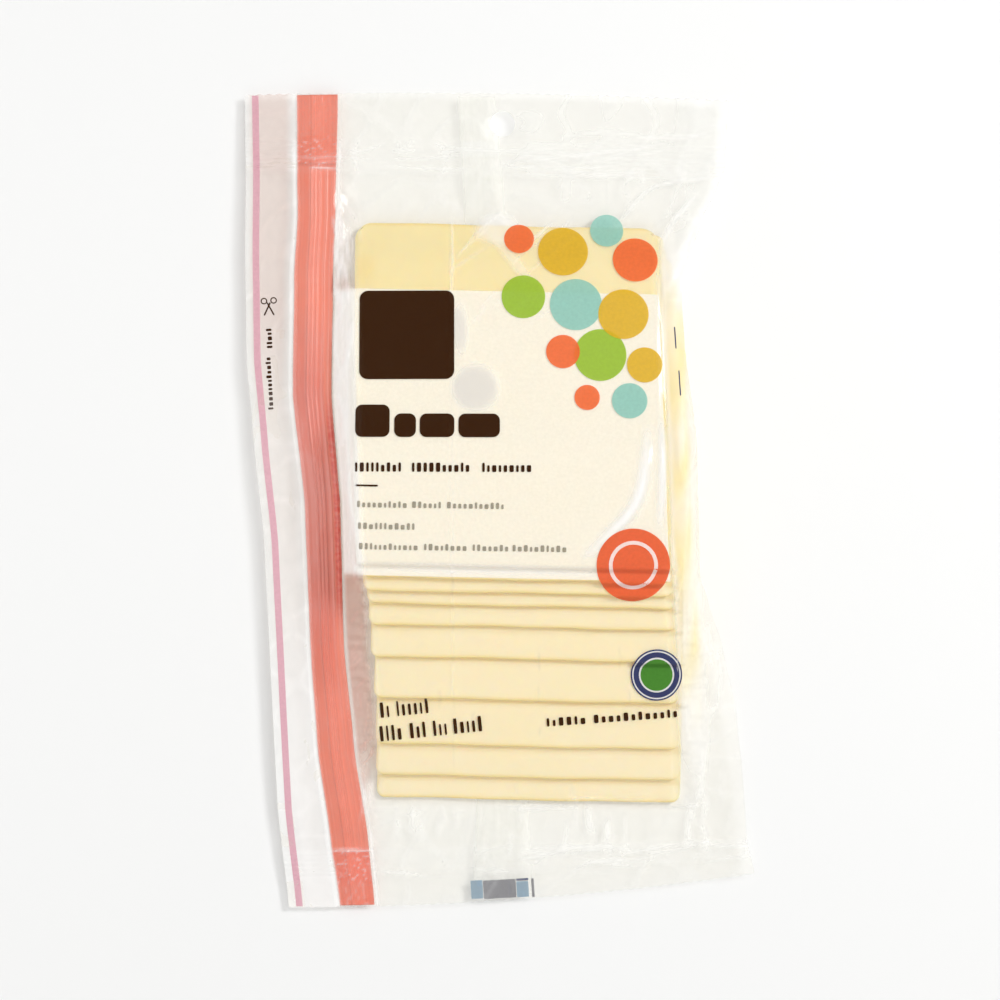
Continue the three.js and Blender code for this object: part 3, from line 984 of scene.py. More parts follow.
@dataclass(frozen=True)
class SlicedCheese:
    """Mild pressed cheese, sliced by a blade.

    Light sinks in and comes back soft and warm. The cut edges are deeper in
    colour, partly their own colour and partly painted shade at the steps, a band
    of painted shade lies on each slice under the edge of the one above, and the
    faces have a faint cloudiness and fine blade marks.
    """

    name: str = "sliced_mild_cheese"
    deep: str = "#f2dfa8"
    pale: str = "#f4e4c3"
    # Deeper yellow at the cut edges: partly their own colour, partly painted shade at the steps.
    rim: str = "#ecd08a"
    roughness: float = 0.42
    cloud_mm: float = 22.0
    pore_mm: float = 1.1

    def build(self) -> bpy.types.Material:
        """Returns the cheese's material."""
        material, tree, output = new_material(self.name)
        spot = add_node(tree, "ShaderNodeTexCoord").outputs["Object"]
        rim, tone = (add_node(tree, "ShaderNodeAttribute", {"attribute_name": name}).outputs["Fac"]
                     for name in ("rim", "tone"))
        cloud = add_node(tree, "ShaderNodeTexNoise",
                         {"Scale": 1 / (self.cloud_mm * MM), "Detail": 4.0, "Roughness": 0.55},
                         {"Vector": spot}).outputs["Fac"]
        shift = add_node(tree, "ShaderNodeMath", {"operation": "MULTIPLY_ADD", 1: 0.3, 2: -0.15},
                         {0: cloud})
        blend = add_node(tree, "ShaderNodeMath", {"operation": "ADD", "use_clamp": True},
                         {0: tone, 1: shift.outputs[0]}).outputs[0]
        face = add_node(tree, "ShaderNodeMix", {"data_type": "RGBA", 6: linear(self.pale),
                                                7: linear(self.deep)}, {0: blend})
        # The rim tone: partly the cut edge's own colour, partly painted shade at the steps.
        whole = add_node(tree, "ShaderNodeMix", {"data_type": "RGBA", 7: linear(self.rim)},
                         {0: rim, 6: face.outputs[2]})
        marks = add_node(tree, "ShaderNodeMapping", {"Scale": (1.0, 0.12, 1.0)}, {"Vector": spot})
        pores = add_node(tree, "ShaderNodeTexNoise", {"Scale": 1 / (self.pore_mm * MM), "Detail": 4.0},
                         {"Vector": marks.outputs[0]})
        bump = add_node(tree, "ShaderNodeBump", {"Strength": 0.18, "Distance": 0.15 * MM},
                        {"Height": pores.outputs["Fac"]})
        cheese = add_node(tree, "ShaderNodeBsdfPrincipled",
                          {"Roughness": self.roughness, "IOR": 1.42, "Subsurface Weight": 0.6,
                           "Subsurface Radius": (1.0, 0.75, 0.4), "Subsurface Scale": 3.2 * MM},
                          {"Base Color": whole.outputs[2], "Normal": bump.outputs[0]})
        tree.links.new(cheese.outputs[0], output.inputs["Surface"])
        return material


@dataclass(frozen=True)
class ZipperPlastic:
    """Coloured low-density polyethylene, extruded.

    It is half see-through, with fine lengthwise lines from the die. Painted
    shade darkens its middle where the slices stand beside it, and a painted
    shadow line crosses it under the crease at the top seal.
    """

    name: str = "extruded_coral_polyethylene"
    bright: str = "#ea8670"
    # Painted shade: the duller coral where the slices shade the strip's middle.
    painted_shade_mid: str = "#cf6d60"
    pressed: str = "#e8735a"
    bare: str = "#d8462f"
    patch_mm: float = 9.0
    roughness: float = 0.3

    def build(self) -> bpy.types.Material:
        """Returns the zipper's material."""
        material, tree, output = new_material(self.name)
        spot = add_node(tree, "ShaderNodeTexCoord").outputs["Object"]
        across, painted_shade_mid, crush, bare, drawn = (
            add_node(tree, "ShaderNodeAttribute", {"attribute_name": name}).outputs["Fac"]
            for name in ("across", "painted_shade_mid", "crush", "bare", "streak"))
        lines = add_node(tree, "ShaderNodeTexNoise",
                         {"noise_dimensions": "1D", "Scale": 30.0, "Detail": 3.0},
                         {"W": across}).outputs["Fac"]
        patch = add_node(tree, "ShaderNodeTexNoise", {"Scale": 1 / (self.patch_mm * MM), "Detail": 3.0},
                         {"Vector": spot}).outputs["Fac"]
        # The coral, with painted shade on its middle.
        tone = add_node(tree, "ShaderNodeMix", {"data_type": "RGBA", 6: linear(self.bright),
                                                7: linear(self.painted_shade_mid)}, {0: painted_shade_mid}).outputs[2]
        for colour, part in ((self.pressed, crush), (self.bare, bare)):
            tone = add_node(tree, "ShaderNodeMix", {"data_type": "RGBA", 7: linear(colour)},
                            {0: part, 6: tone}).outputs[2]
        streak = add_node(tree, "ShaderNodeMath", {"operation": "MULTIPLY_ADD", 1: 0.16},
                          {0: lines, 2: drawn})
        blotch = add_node(tree, "ShaderNodeMath", {"operation": "MULTIPLY_ADD", 1: 0.16, 2: 0.92},
                          {0: patch})
        value = add_node(tree, "ShaderNodeMath", {"operation": "MULTIPLY"},
                         {0: streak.outputs[0], 1: blotch.outputs[0]})
        shade = add_node(tree, "ShaderNodeHueSaturation", {},
                         {"Color": tone, "Value": value.outputs[0]})
        bump = add_node(tree, "ShaderNodeBump", {"Strength": 0.22, "Distance": 0.2 * MM},
                        {"Height": lines})
        plastic = add_node(tree, "ShaderNodeBsdfPrincipled",
                           {"Roughness": self.roughness, "IOR": 1.5, "Subsurface Weight": 0.15,
                            "Subsurface Radius": (1.0, 0.4, 0.3), "Subsurface Scale": 1.0 * MM},
                           {"Base Color": shade.outputs[0], "Normal": bump.outputs[0]})
        tree.links.new(plastic.outputs[0], output.inputs["Surface"])
        return material


@dataclass(frozen=True)
class StudioPaper:
    """White background paper, matt.

    It is even and pale, with a tooth too fine to see.
    """

    name: str = "matt_studio_paper"
    colour: str = "#eeeeed"
    grain_mm: float = 2.0

    def build(self) -> bpy.types.Material:
        """Returns the paper's material."""
        material, tree, output = new_material(self.name)
        spot = add_node(tree, "ShaderNodeTexCoord").outputs["Object"]
        grain = add_node(tree, "ShaderNodeTexNoise", {"Scale": 1 / (self.grain_mm * MM)},
                         {"Vector": spot})
        bump = add_node(tree, "ShaderNodeBump", {"Strength": 0.03, "Distance": 0.1 * MM},
                        {"Height": grain.outputs["Fac"]})
        paper = add_node(tree, "ShaderNodeBsdfPrincipled",
                         {"Base Color": linear(self.colour), "Roughness": 0.8,
                          "Specular IOR Level": 0.1},
                         {"Normal": bump.outputs[0]})
        tree.links.new(paper.outputs[0], output.inputs["Surface"])
        return material


def grid_mesh(name: str, columns: int, rows: int) -> bpy.types.Mesh:
    """Makes a flat square grid from -1 to 1 both ways.

    Args:
        name: The mesh's name.
        columns: The number of faces across.
        rows: The number of faces along.

    Returns:
        The mesh.
    """
    bm = bmesh.new()
    bmesh.ops.create_grid(bm, x_segments=columns, y_segments=rows, size=1.0)
    mesh = bpy.data.meshes.new(name)
    bm.to_mesh(mesh)
    bm.free()
    return mesh


def places_of(mesh: bpy.types.Mesh) -> Array:
    """Reads a mesh's vertices.

    Args:
        mesh: The mesh.

    Returns:
        Their places, a row of x, y and z for each.
    """
    flat = np.empty(len(mesh.vertices) * 3)
    mesh.vertices.foreach_get("co", flat)
    return flat.reshape(-1, 3)


def place(mesh: bpy.types.Mesh, points: Array) -> None:
    """Moves the mesh's vertices.

    Args:
        mesh: The mesh.
        points: The new places, in the order of the vertices.
    """
    mesh.vertices.foreach_set("co", np.ascontiguousarray(points, float).ravel())
    mesh.update()


def note(mesh: bpy.types.Mesh, name: str, values: Array) -> None:
    """Keeps a value for each vertex as an attribute.

    Args:
        mesh: The mesh.
        name: The attribute's name.
        values: One value for each vertex.
    """
    layer = mesh.attributes.new(name, "FLOAT", "POINT")
    layer.data.foreach_set("value", np.ascontiguousarray(values, np.float32))


def grid_shares(mesh: bpy.types.Mesh) -> tuple[Array, Array]:
    """Returns a fresh grid's shares across and along, from 0 to 1."""
    flat = (places_of(mesh) + 1) / 2
    return flat[:, 0], flat[:, 1]


def reshape_mesh(mesh: bpy.types.Mesh, work: Callable[[bmesh.types.BMesh], None]) -> None:
    """Runs some bmesh work on a mesh.

    Args:
        mesh: The mesh.
        work: What is done to it.
    """
    bm = bmesh.new()
    bm.from_mesh(mesh)
    work(bm)
    bm.to_mesh(mesh)
    bm.free()


def finished(mesh: bpy.types.Mesh, material: bpy.types.Material, slot: str,
             *nodes: str) -> bpy.types.Object:
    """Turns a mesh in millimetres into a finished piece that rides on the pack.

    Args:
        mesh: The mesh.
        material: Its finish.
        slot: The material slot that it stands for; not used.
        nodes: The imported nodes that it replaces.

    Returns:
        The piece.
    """
    place(mesh, places_of(mesh) * MM)
    for face in mesh.polygons:
        face.use_smooth = True
    mesh.materials.append(material)
    piece = bpy.data.objects.new(mesh.name, mesh)
    bpy.context.scene.collection.objects.link(piece)
    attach(piece, "root")
    if nodes:
        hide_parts(*nodes)
    log.info("%s: %d faces", piece.name, len(mesh.polygons))
    return piece


@dataclass(frozen=True)
class FilmBag:
    """The film bag: front and back film with ribbed seals, toothed ends, hang hole and back fin."""

    form: PackForm
    surface: FilmSurface
    columns: tuple[int, ...] = (26, 18, 10, 142, 26)
    rows: int = 410
    back_columns: tuple[int, ...] = (14, 10, 6, 70, 14)
    back_rows: int = 170
    back_milk: float = 0.22
    fin_columns: int = 12
    fin_inset: float = 1.2
    fin_drop: float = 0.07
    fin_lowest: float = 0.02
    fin_milk: float = 0.3

    def sheet(self, name: str, columns: tuple[int, ...], rows: int, is_front: bool) -> bpy.types.Mesh:
        """Makes one film as a flat grid laid between the pack's lengthwise lines.

        Args:
            name: The mesh's name.
            columns: The number of faces across each strip between two lines.
            rows: The number of faces along the pack.
            is_front: Whether it is the front film.

        Returns:
            The mesh, at its true places.
        """
        form = self.form
        mesh = grid_mesh(name, sum(columns), rows)
        across, along = grid_shares(mesh)
        across = across * sum(columns)
        row = form.row_at(along)
        knots = form.knots(row, is_front)
        x = knots[0].copy()
        walked = 0
        for count, start, end in zip(columns, knots, knots[1:]):
            share = np.clip((across - walked) / count, 0, 1)
            x += share * (end - start)
            walked += count
        y = form.cross_line(row, x) + self.teeth(x, row)
        z = self.surface.height(x, y) if is_front else self.surface.back_height(x, row)
        place(mesh, np.column_stack([x, y, np.maximum(z, form.floor_gap)]))
        return mesh

    def teeth(self, x: Array, row: Array) -> Array:
        """Works out the teeth that the knife left at the film's ends.

        Args:
            x: Places across the pack.
            row: Their cross lines.

        Returns:
            How far each place moves along the pack.
        """
        form = self.form
        wave = np.abs(((x / form.tooth_pitch) % 1.0) * 2 - 1) * form.tooth_depth
        top = smooth(row, form.top_edge - 1.0, form.top_edge)
        bottom = 1 - smooth(row, form.bottom_edge, form.bottom_edge + 1.0)
        return wave * (bottom - top)

    def punch(self, bm: bmesh.types.BMesh) -> None:
        """Punches the hang hole through a film.

        Args:
            bm: The film.
        """
        form = self.form
        centre = Vector((form.hole_x, form.hole_y, 0))
        inside = [f for f in bm.faces
                  if (f.calc_center_median() - centre).xy.length < form.hole_radius]
        bmesh.ops.delete(bm, geom=inside, context="FACES")
        for vertex in bm.verts:
            away = (vertex.co - centre).xy
            if vertex.is_boundary and away.length < form.hole_radius + 2:
                target = centre.xy + away.normalized() * form.hole_radius
                vertex.co.x, vertex.co.y = target
        loose = [v for v in bm.verts if not v.link_faces]
        bmesh.ops.delete(bm, geom=loose, context="VERTS")

    def build_front(self, material: bpy.types.Material) -> bpy.types.Object:
        """Builds the front film.

        Args:
            material: The film's finish.

        Returns:
            The piece.
        """
        mesh = self.sheet("film_front", self.columns, self.rows, True)
        reshape_mesh(mesh, self.punch)
        self.note_milk(mesh, 1.0)
        return finished(mesh, material, "clear_film", "bag")

    def build_back(self, material: bpy.types.Material) -> bpy.types.Object:
        """Builds the back film, its faces turned to the floor.

        Args:
            material: The film's finish.

        Returns:
            The piece.
        """
        mesh = self.sheet("film_back", self.back_columns, self.back_rows, False)
        reshape_mesh(mesh, self.punch)
        self.note_milk(mesh, self.back_milk)
        reshape_mesh(mesh, lambda bm: bmesh.ops.reverse_faces(bm, faces=bm.faces[:]))
        return finished(mesh, material, "clear_film", "bag")

    def note_milk(self, mesh: bpy.types.Mesh, share: float) -> None:
        """Keeps the film's haze, its painted coral light and shade, its painted cheese bounce light and
        its painted eye shade on its mesh.

        Args:
            mesh: The film's mesh.
            share: How milky it is beside the front film.
        """
        x, y, _ = places_of(mesh).T
        row = self.form.row_of(x, y)
        note(mesh, "haze", np.clip(self.surface.haze(x, y) * share, 0.02, 1.0))
        left, zip_left, zip_right, _, stack_right, _ = self.form.knots(row, True)
        # Painted pink light from the coral strip on the film's margin, stronger towards the top.
        margin = window(x, left + 0.5, left + 3.0, zip_left - 4.0, zip_left - 1.0)
        margin = margin * (0.06 + 0.12 * smooth(row, -75.0, 0.0) + 0.38 * smooth(row, 10.0, 60.0))
        in_panel = window(row, *self.surface.milk.panel_rows)
        # Painted shade, with pink coral light, in the gap between the strip and the slices.
        beside = window(x, zip_right, zip_right + 1.5, zip_right + 6, zip_right + 10)
        beside = beside * window(row, -95.0, -85.0, 84.0, 90.0)
        beside = beside * (1 - 0.96 * in_panel) * (1 - 0.85 * smooth(row, 56.0, 66.0))
        note(mesh, "painted_coral_light_and_shade", np.maximum(margin, beside))
        # Painted yellow bounce light from the slices' right side, in ripples.
        glow = window(x - stack_right, -0.5, 1.5, 5.5, 8.5) * window(row, -75.0, -45.0, 50.0, 66.0)
        ripple = np.sin(y / 4.5 + 1.2 * np.sin(x / 1.6) + np.sin(y / 11.0))
        note(mesh, "glow", glow * (0.62 + 0.3 * ripple))
        # Painted shade over the eye's hollow.
        note(mesh, "shade", self.surface.eye(x, y))

    def build_fin(self, material: bpy.types.Material) -> bpy.types.Object:
        """Builds the back fin seal, folded flat under the back film.

        Args:
            material: The film's finish.

        Returns:
            The piece.
        """
        form = self.form
        mesh = grid_mesh("back_fin_seal", self.fin_columns, self.back_rows)
        across, along = grid_shares(mesh)
        row = mix(form.bottom_edge + self.fin_inset, form.top_edge - self.fin_inset, along)
        x = mix(form.meet(row, form.fin_left), form.meet(row, form.fin_right), across)
        y = form.cross_line(row, x)
        z = np.maximum(self.surface.back_height(x, row) - self.fin_drop, self.fin_lowest)
        place(mesh, np.column_stack([x, y, z]))
        reshape_mesh(mesh, self.punch)
        x, y, _ = places_of(mesh).T
        note(mesh, "haze", self.fin_milk + 0.14 * np.clip(crumple(x, y, 4.0, 31, 30.0), 0, 1))
        note(mesh, "painted_coral_light_and_shade", np.zeros_like(x))
        reshape_mesh(mesh, lambda bm: bmesh.ops.reverse_faces(bm, faces=bm.faces[:]))
        return finished(mesh, material, "clear_film", "bag")


def rounded(s: Array, t: Array, half_x: float, half_y: float,
            radius: float) -> tuple[Array, Array]:
    """Maps a square grid onto a rectangle with round corners.

    Args:
        s: Grid places across, from -1 to 1.
        t: Grid places along, from -1 to 1.
        half_x: Half of the rectangle's width.
        half_y: Half of its height.
        radius: The radius of its corners, up to half of its shorter side.

    Returns:
        The places across and along.
    """
    radius = min(radius, half_x, half_y)
    x, y = s * half_x, t * half_y
    in_x = np.clip((np.abs(x) - half_x + radius) / radius, 0, 1)
    in_y = np.clip((np.abs(y) - half_y + radius) / radius, 0, 1)
    corner = (in_x > 0) & (in_y > 0)
    new_x = half_x - radius + radius * in_x * np.sqrt(1 - in_y ** 2 / 2)
    new_y = half_y - radius + radius * in_y * np.sqrt(1 - in_x ** 2 / 2)
    return np.where(corner, np.sign(x) * new_x, x), np.where(corner, np.sign(y) * new_y, y)


@dataclass(frozen=True)
class CheeseStack:
    """Ten slices laid like shingles, each draped over the ones below."""

    form: PackForm
    corner: float = 2.4
    top_corner: float = 5.52
    edge_round: float = 0.55
    columns: int = 76
    rows: int = 88
    eye_depth: float = 1.5
    top_tone: float = 0.85
    seed: int = 5

    def slab(self, bm: bmesh.types.BMesh) -> None:
        """Gives a flat sheet its thickness and rounds its rim.

        Args:
            bm: The sheet.
        """
        form = self.form
        bmesh.ops.solidify(bm, geom=bm.faces[:], thickness=form.slice_thickness)
        bmesh.ops.recalc_face_normals(bm, faces=bm.faces[:])
        rim = [e for e in bm.edges if len(e.link_faces) == 2 and e.calc_face_angle() > math.radians(60)]
        bmesh.ops.bevel(bm, geom=rim, offset=self.edge_round, offset_type="OFFSET", affect="EDGES",
                        segments=3, profile=0.5, material=-1)
        lowest = min(v.co.z for v in bm.verts)
        bmesh.ops.translate(bm, verts=bm.verts[:], vec=Vector((0, 0, -lowest)))

    def build(self, material: bpy.types.Material) -> list[bpy.types.Object]:
        """Returns the slices, from the top one to the last."""
        return [self.build_slice(number, material) for number in range(self.form.slices)]

    def build_slice(self, number: int, material: bpy.types.Material) -> bpy.types.Object:
        """Makes one slice.

        Args:
            number: Its place from the top, from 0.
            material: The cheese.

        Returns:
            The slice.
        """
        form = self.form
        draw = random.Random(self.seed + number)
        mesh = grid_mesh(f"cheese_slice_{number + 1}", self.columns, self.rows)
        flat = places_of(mesh)
        half_x, half_y = form.slice_width / 2, form.slice_lengths[number] / 2
        radius = self.corner if number else self.top_corner
        x, y = rounded(flat[:, 0], flat[:, 1], half_x, half_y, radius)
        place(mesh, np.column_stack([x, y, np.zeros_like(x)]))
        reshape_mesh(mesh, self.slab)
        across, along, rise = places_of(mesh).T
        inset = np.minimum(half_x - np.abs(across), half_y - np.abs(along))
        edge_row = form.slice_edges[number] + half_y + along
        ends = half_y - np.abs(along)
        # Rim: deeper yellow at the slice's cut ends, partly their own colour and partly painted shade
        # where each step drops.
        rim = np.maximum(0.85 * (1 - smooth(ends, 0.0, 1.5)), 0.25 * (1 - smooth(inset, 0.0, 0.8)))
        # A band of painted shade on this slice just under the edge of the slice above.
        if number:
            above = form.slice_edges[number - 1]
            rim = np.maximum(rim, 0.5 * (1 - smooth(np.abs(edge_row - above + 0.4), 0.2, 1.0)))
        else:
            patch = np.hypot((across + half_x - 3.0) / 5.0, (along - half_y + 15.0) / 7.0)
            rim = np.maximum(rim, 0.4 * (1 - smooth(patch, 0.2, 1.0)))
        note(mesh, "rim", rim)
        note(mesh, "tone", np.full(across.shape, draw.uniform(0.05, 0.25) if number else self.top_tone))
        phase = draw.uniform(0, 6)
        wave = 0.14 * np.sin(across / 11 + phase) + 0.07 * np.sin(across / 3.9 + 2 * phase)
        row = edge_row + wave * smooth(np.abs(along), half_y - 12, half_y)
        lean = math.tan(math.radians(form.slice_leans[number]))
        x = form.slice_lefts[number] + half_x + across + (along + half_y) * lean
        x = x + 0.2 * np.sin(along / 13 + phase) * smooth(np.abs(across), half_x - 10, half_x)
        y = form.cross_line(row, x)
        below = form.support(row, number + 1)
        left, right = form.knots(row, True)[3:5]
        from_side = np.minimum(x - left, right - x)
        slump = (form.shoulder_drop + 0.25) * (1 - smooth(from_side, 0, form.shoulder))
        share = (below + rise) / np.maximum(form.support(row, 0), form.slice_thickness)
        z = form.lowest_cheese + below + rise - slump * np.clip(share, 0, 1)
        z = np.maximum(z, form.lowest_cheese)
        if number == 0:
            z = z - self.eye(x, y) * smooth(rise, 0.5, 1.2)
        place(mesh, np.column_stack([x, y, z]))
        return finished(mesh, material, "cheese", "bag")

    def eye(self, x: Array, y: Array) -> Array:
        """Works out the eye in the top slice.

        Args:
            x: Places across the pack.
            y: Places along the pack.

        Returns:
            Its depth, 0 beside it.
        """
        form = self.form
        around = np.hypot(x - form.eye_x, y - form.eye_y) / form.eye_radius
        upper = np.hypot((x + 9.5) / 2.4, (y - 49.3) / 7.0)
        hollow = np.maximum(1 - smooth(around, 0.7, 1.05), 0.6 * (1 - smooth(upper, 0.6, 1.1)))
        return self.eye_depth * hollow


@dataclass(frozen=True)
class ZipperStrip:
    """The press-to-close strip between the films: a coral band with two tracks on a milky web."""

    form: PackForm
    surface: FilmSurface
    columns: int = 72
    rows: int = 470
    web_margin: float = 1.3
    track_height: float = 0.42
    thickness: float = 0.3
    end_gap: float = 0.6
    # The row of a painted shadow line under the crease across the top seal.
    painted_shade_crease_row: float = 97.7
    web_drop: float = 0.42
    web_milk: float = 0.18
    film_gap: float = 0.12
    tracks: tuple[Ridge, ...] = ((0.1, 0.045, 0.35), (0.36, 0.035, 1.0), (0.47, 0.03, 0.8),
                                 (0.58, 0.035, 1.0), (0.76, 0.03, 0.5), (0.93, 0.035, 0.4))
    streaks: tuple[Ridge, ...] = ((0.35, 0.014, -0.2), (0.47, 0.012, 0.1), (0.56, 0.012, 0.12),
                                  (0.66, 0.014, 0.1), (0.78, 0.012, -0.08), (0.12, 0.014, -0.06))

    def profile(self, across: Array, flat: Array) -> Array:
        """Returns the strip's tracks over its middle sheet, lower where it is crushed flat."""
        return self.track_height * ridges(across, self.tracks) * (1 - 0.7 * flat)

    def strip(self, name: str, margin: float, drop: float) -> tuple[bpy.types.Mesh, Array, Array]:
        """Makes a sheet along the zipper's path.

        Args:
            name: The mesh's name.
            margin: How far it reaches past the coral band on both sides.
            drop: How far it lies under the strip's middle sheet.

        Returns:
            The mesh, the shares across it and its rows.
        """
        form = self.form
        mesh = grid_mesh(name, self.columns, self.rows)
        across, along = grid_shares(mesh)
        row = mix(form.bottom_edge + self.end_gap, form.top_edge - self.end_gap, along)
        left = form.meet(row, form.zipper_left) - margin
        right = form.meet(row, form.zipper_right) + margin
        x = mix(left, right, across)
        level = mix(form.zipper_left_level(row), form.zipper_right_level(row), across)
        y = form.cross_line(row, x)
        place(mesh, np.column_stack([x, y, level - drop]))
        return mesh, across, row

    def build_band(self, material: bpy.types.Material) -> bpy.types.Object:
        """Builds the coral band with its tracks.

        Args:
            material: The coloured plastic.

        Returns:
            The piece.
        """
        form = self.form
        mesh, across, row = self.strip("zipper_band", 0.0, 0.0)
        x, y, z = places_of(mesh).T
        flat = form.crushed(row)
        z = z + self.profile(across, flat)
        z = np.minimum(z, self.surface.height(x, y) - self.film_gap)
        place(mesh, np.column_stack([x, y, z]))
        note(mesh, "across", across)
        # Painted shade that the slices cast on the middle of the strip.
        middle = window(row, -80.0, -30.0, 25.0, 60.0) * (1 - smooth(across, 0.72, 0.86))
        note(mesh, "painted_shade_mid", 0.6 * np.clip(middle, 0, 1))
        rubbed = 0.8 + 0.2 * np.clip(2 * self.surface.squiggles(x, y), -1, 1)
        edge = smooth(across, 0.79, 0.86) * window(row, -45.0, -25.0, 15.0, 30.0)
        note(mesh, "bare", rubbed * edge)
        note(mesh, "crush", flat * (1 - 0.65 * smooth(row, 0.0, 10.0)))
        streak = 0.9 - 0.05 * (1 - smooth(across, 0.33, 0.38)) - 0.05 * smooth(across, 0.8, 0.9)
        calm = 0.75 * (1 - 0.7 * window(row, -60.0, -30.0, 10.0, 35.0))
        streak = streak + calm * ridges(across, self.streaks)
        # A painted shadow line along the crease across the top seal.
        streak = streak - 0.16 * np.exp(-((row - self.painted_shade_crease_row) / 0.45) ** 2)
        note(mesh, "streak", streak)
        reshape_mesh(mesh, self.thicken)
        return finished(mesh, material, "zipper_plastic", "zipper")

    def thicken(self, bm: bmesh.types.BMesh) -> None:
        """Gives the band its thickness."""
        bmesh.ops.solidify(bm, geom=bm.faces[:], thickness=self.thickness)
        bmesh.ops.recalc_face_normals(bm, faces=bm.faces[:])

    def build_web(self, material: bpy.types.Material) -> bpy.types.Object:
        """Builds the milky web under the band.

        Args:
            material: The film's finish.

        Returns:
            The piece.
        """
        mesh, across, _ = self.strip("zipper_web", self.web_margin, self.web_drop)
        note(mesh, "haze", np.full(across.shape, self.web_milk))
        note(mesh, "painted_coral_light_and_shade", np.zeros_like(across))
        return finished(mesh, material, "clear_film", "zipper")


class Ink(Enum):
    """The inks of the print, with their record slots."""

    WHITE = PrintedInk("flexo_ink_white", "#fffdf8", 0.66, 0.02, through=0.04)
    BROWN = PrintedInk("flexo_ink_brown", "#341a06", 0.98, 0.02, through=0.0)
    CORAL = PrintedInk("flexo_ink_coral", "#f0703c", 0.88)
    BADGE = PrintedInk("flexo_ink_badge", "#e8653c", 0.93)
    MUSTARD = PrintedInk("flexo_ink_mustard", "#e0b42c", 0.86)
    TEAL = PrintedInk("flexo_ink_teal", "#93cabd", 0.84)
    GREEN = PrintedInk("flexo_ink_green", "#9cc038", 0.88)
    NAVY = PrintedInk("flexo_ink_navy", "#343c66", 0.95)
    SEAL_GREEN = PrintedInk("flexo_ink_seal_green", "#4e8a34", 0.95)
    GREY = PrintedInk("flexo_ink_grey", "#8f8a7c", 0.8)
    GREY_BLUE = PrintedInk("flexo_ink_grey_blue", "#7e9bb1", 0.95)
    SLATE = PrintedInk("flexo_ink_slate", "#74747c", 0.95)
    PINK = PrintedInk("flexo_ink_pink", "#dc9fb0", 0.72, 0.05)


INK_SLOTS = {
    Ink.WHITE: "ink_white", Ink.BROWN: "ink_brown", Ink.CORAL: "ink_coral", Ink.BADGE: "ink_coral",
    Ink.MUSTARD: "ink_mustard", Ink.TEAL: "ink_teal", Ink.GREEN: "ink_green", Ink.NAVY: "ink_navy",
    Ink.SEAL_GREEN: "ink_green", Ink.GREY: "ink_brown", Ink.GREY_BLUE: "ink_grey_blue",
    Ink.SLATE: "ink_grey_blue", Ink.PINK: "tear_line",
}


@dataclass(frozen=True)
class Mark:
    """A printed shape, by its place and its depth under the film, negative on its outside."""

    name: str
    ink: Ink
    x: float
    y: float
    turn: float = field(default=0.0, kw_only=True)
    depth: float = field(default=-0.06, kw_only=True)

    def flat_mesh(self) -> bpy.types.Mesh:
        """Returns the shape, flat and about its own middle."""
        raise NotImplementedError


@dataclass(frozen=True)
class Block(Mark):
    """A rectangle with round corners: a block, bar, pill or disc."""

    width: float
    height: float
    radius: float
    pitch: float = 0.7

    def flat_mesh(self) -> bpy.types.Mesh:
        """Returns the block, flat and about its own middle."""
        columns = max(4, round(self.width / self.pitch))
        rows = max(3, round(self.height / self.pitch))
        mesh = grid_mesh(self.name, columns, rows)
        flat = places_of(mesh)
        x, y = rounded(flat[:, 0], flat[:, 1], self.width / 2, self.height / 2, self.radius)
        place(mesh, np.column_stack([x, y, np.zeros_like(x)]))
        return mesh


@dataclass(frozen=True)
class Ring(Mark):
    """A round line."""

    radius: float
    line: float
    sides: int = 72

    def flat_mesh(self) -> bpy.types.Mesh:
        """Returns the ring, flat and about its own middle."""
        mesh = grid_mesh(self.name, self.sides, 2)
        flat = places_of(mesh)
        turn = math.pi * flat[:, 0]
        reach = self.radius - self.line * (flat[:, 1] + 1) / 2
        place(mesh, np.column_stack([reach * np.cos(turn), reach * np.sin(turn), np.zeros_like(turn)]))
        reshape_mesh(mesh, lambda bm: bmesh.ops.remove_doubles(bm, verts=bm.verts[:], dist=1e-4))
        return mesh


@dataclass(frozen=True)
class BlockRow(Mark):
    """A row of small round-cornered blocks of uneven width, like a piece of small print."""

    width: float
    height: float
    block: float
    gap: float

    def flat_mesh(self) -> bpy.types.Mesh:
        """Returns the row, flat and about its own middle."""
        draw = random.Random(self.name)
        bm = bmesh.new()
        at = -self.width / 2
        tall = self.height
        while at < self.width / 2 - self.block / 2:
            wide = self.block * draw.choice((0.75, 1.0, 1.25))
            made = bmesh.ops.create_grid(bm, x_segments=4, y_segments=5, size=1.0)
            for vertex in made["verts"]:
                x, y = rounded(vertex.co.x, vertex.co.y, wide / 2, tall / 2, 0.3 * self.block)
                vertex.co.xy = at + wide / 2 + x, y + (tall - self.height) / 2
            at += wide + self.gap
            tall = self.height * draw.choice((0.74, 0.74, 1.0))
        mesh = bpy.data.meshes.new(self.name)
        bm.to_mesh(mesh)
        bm.free()
        return mesh


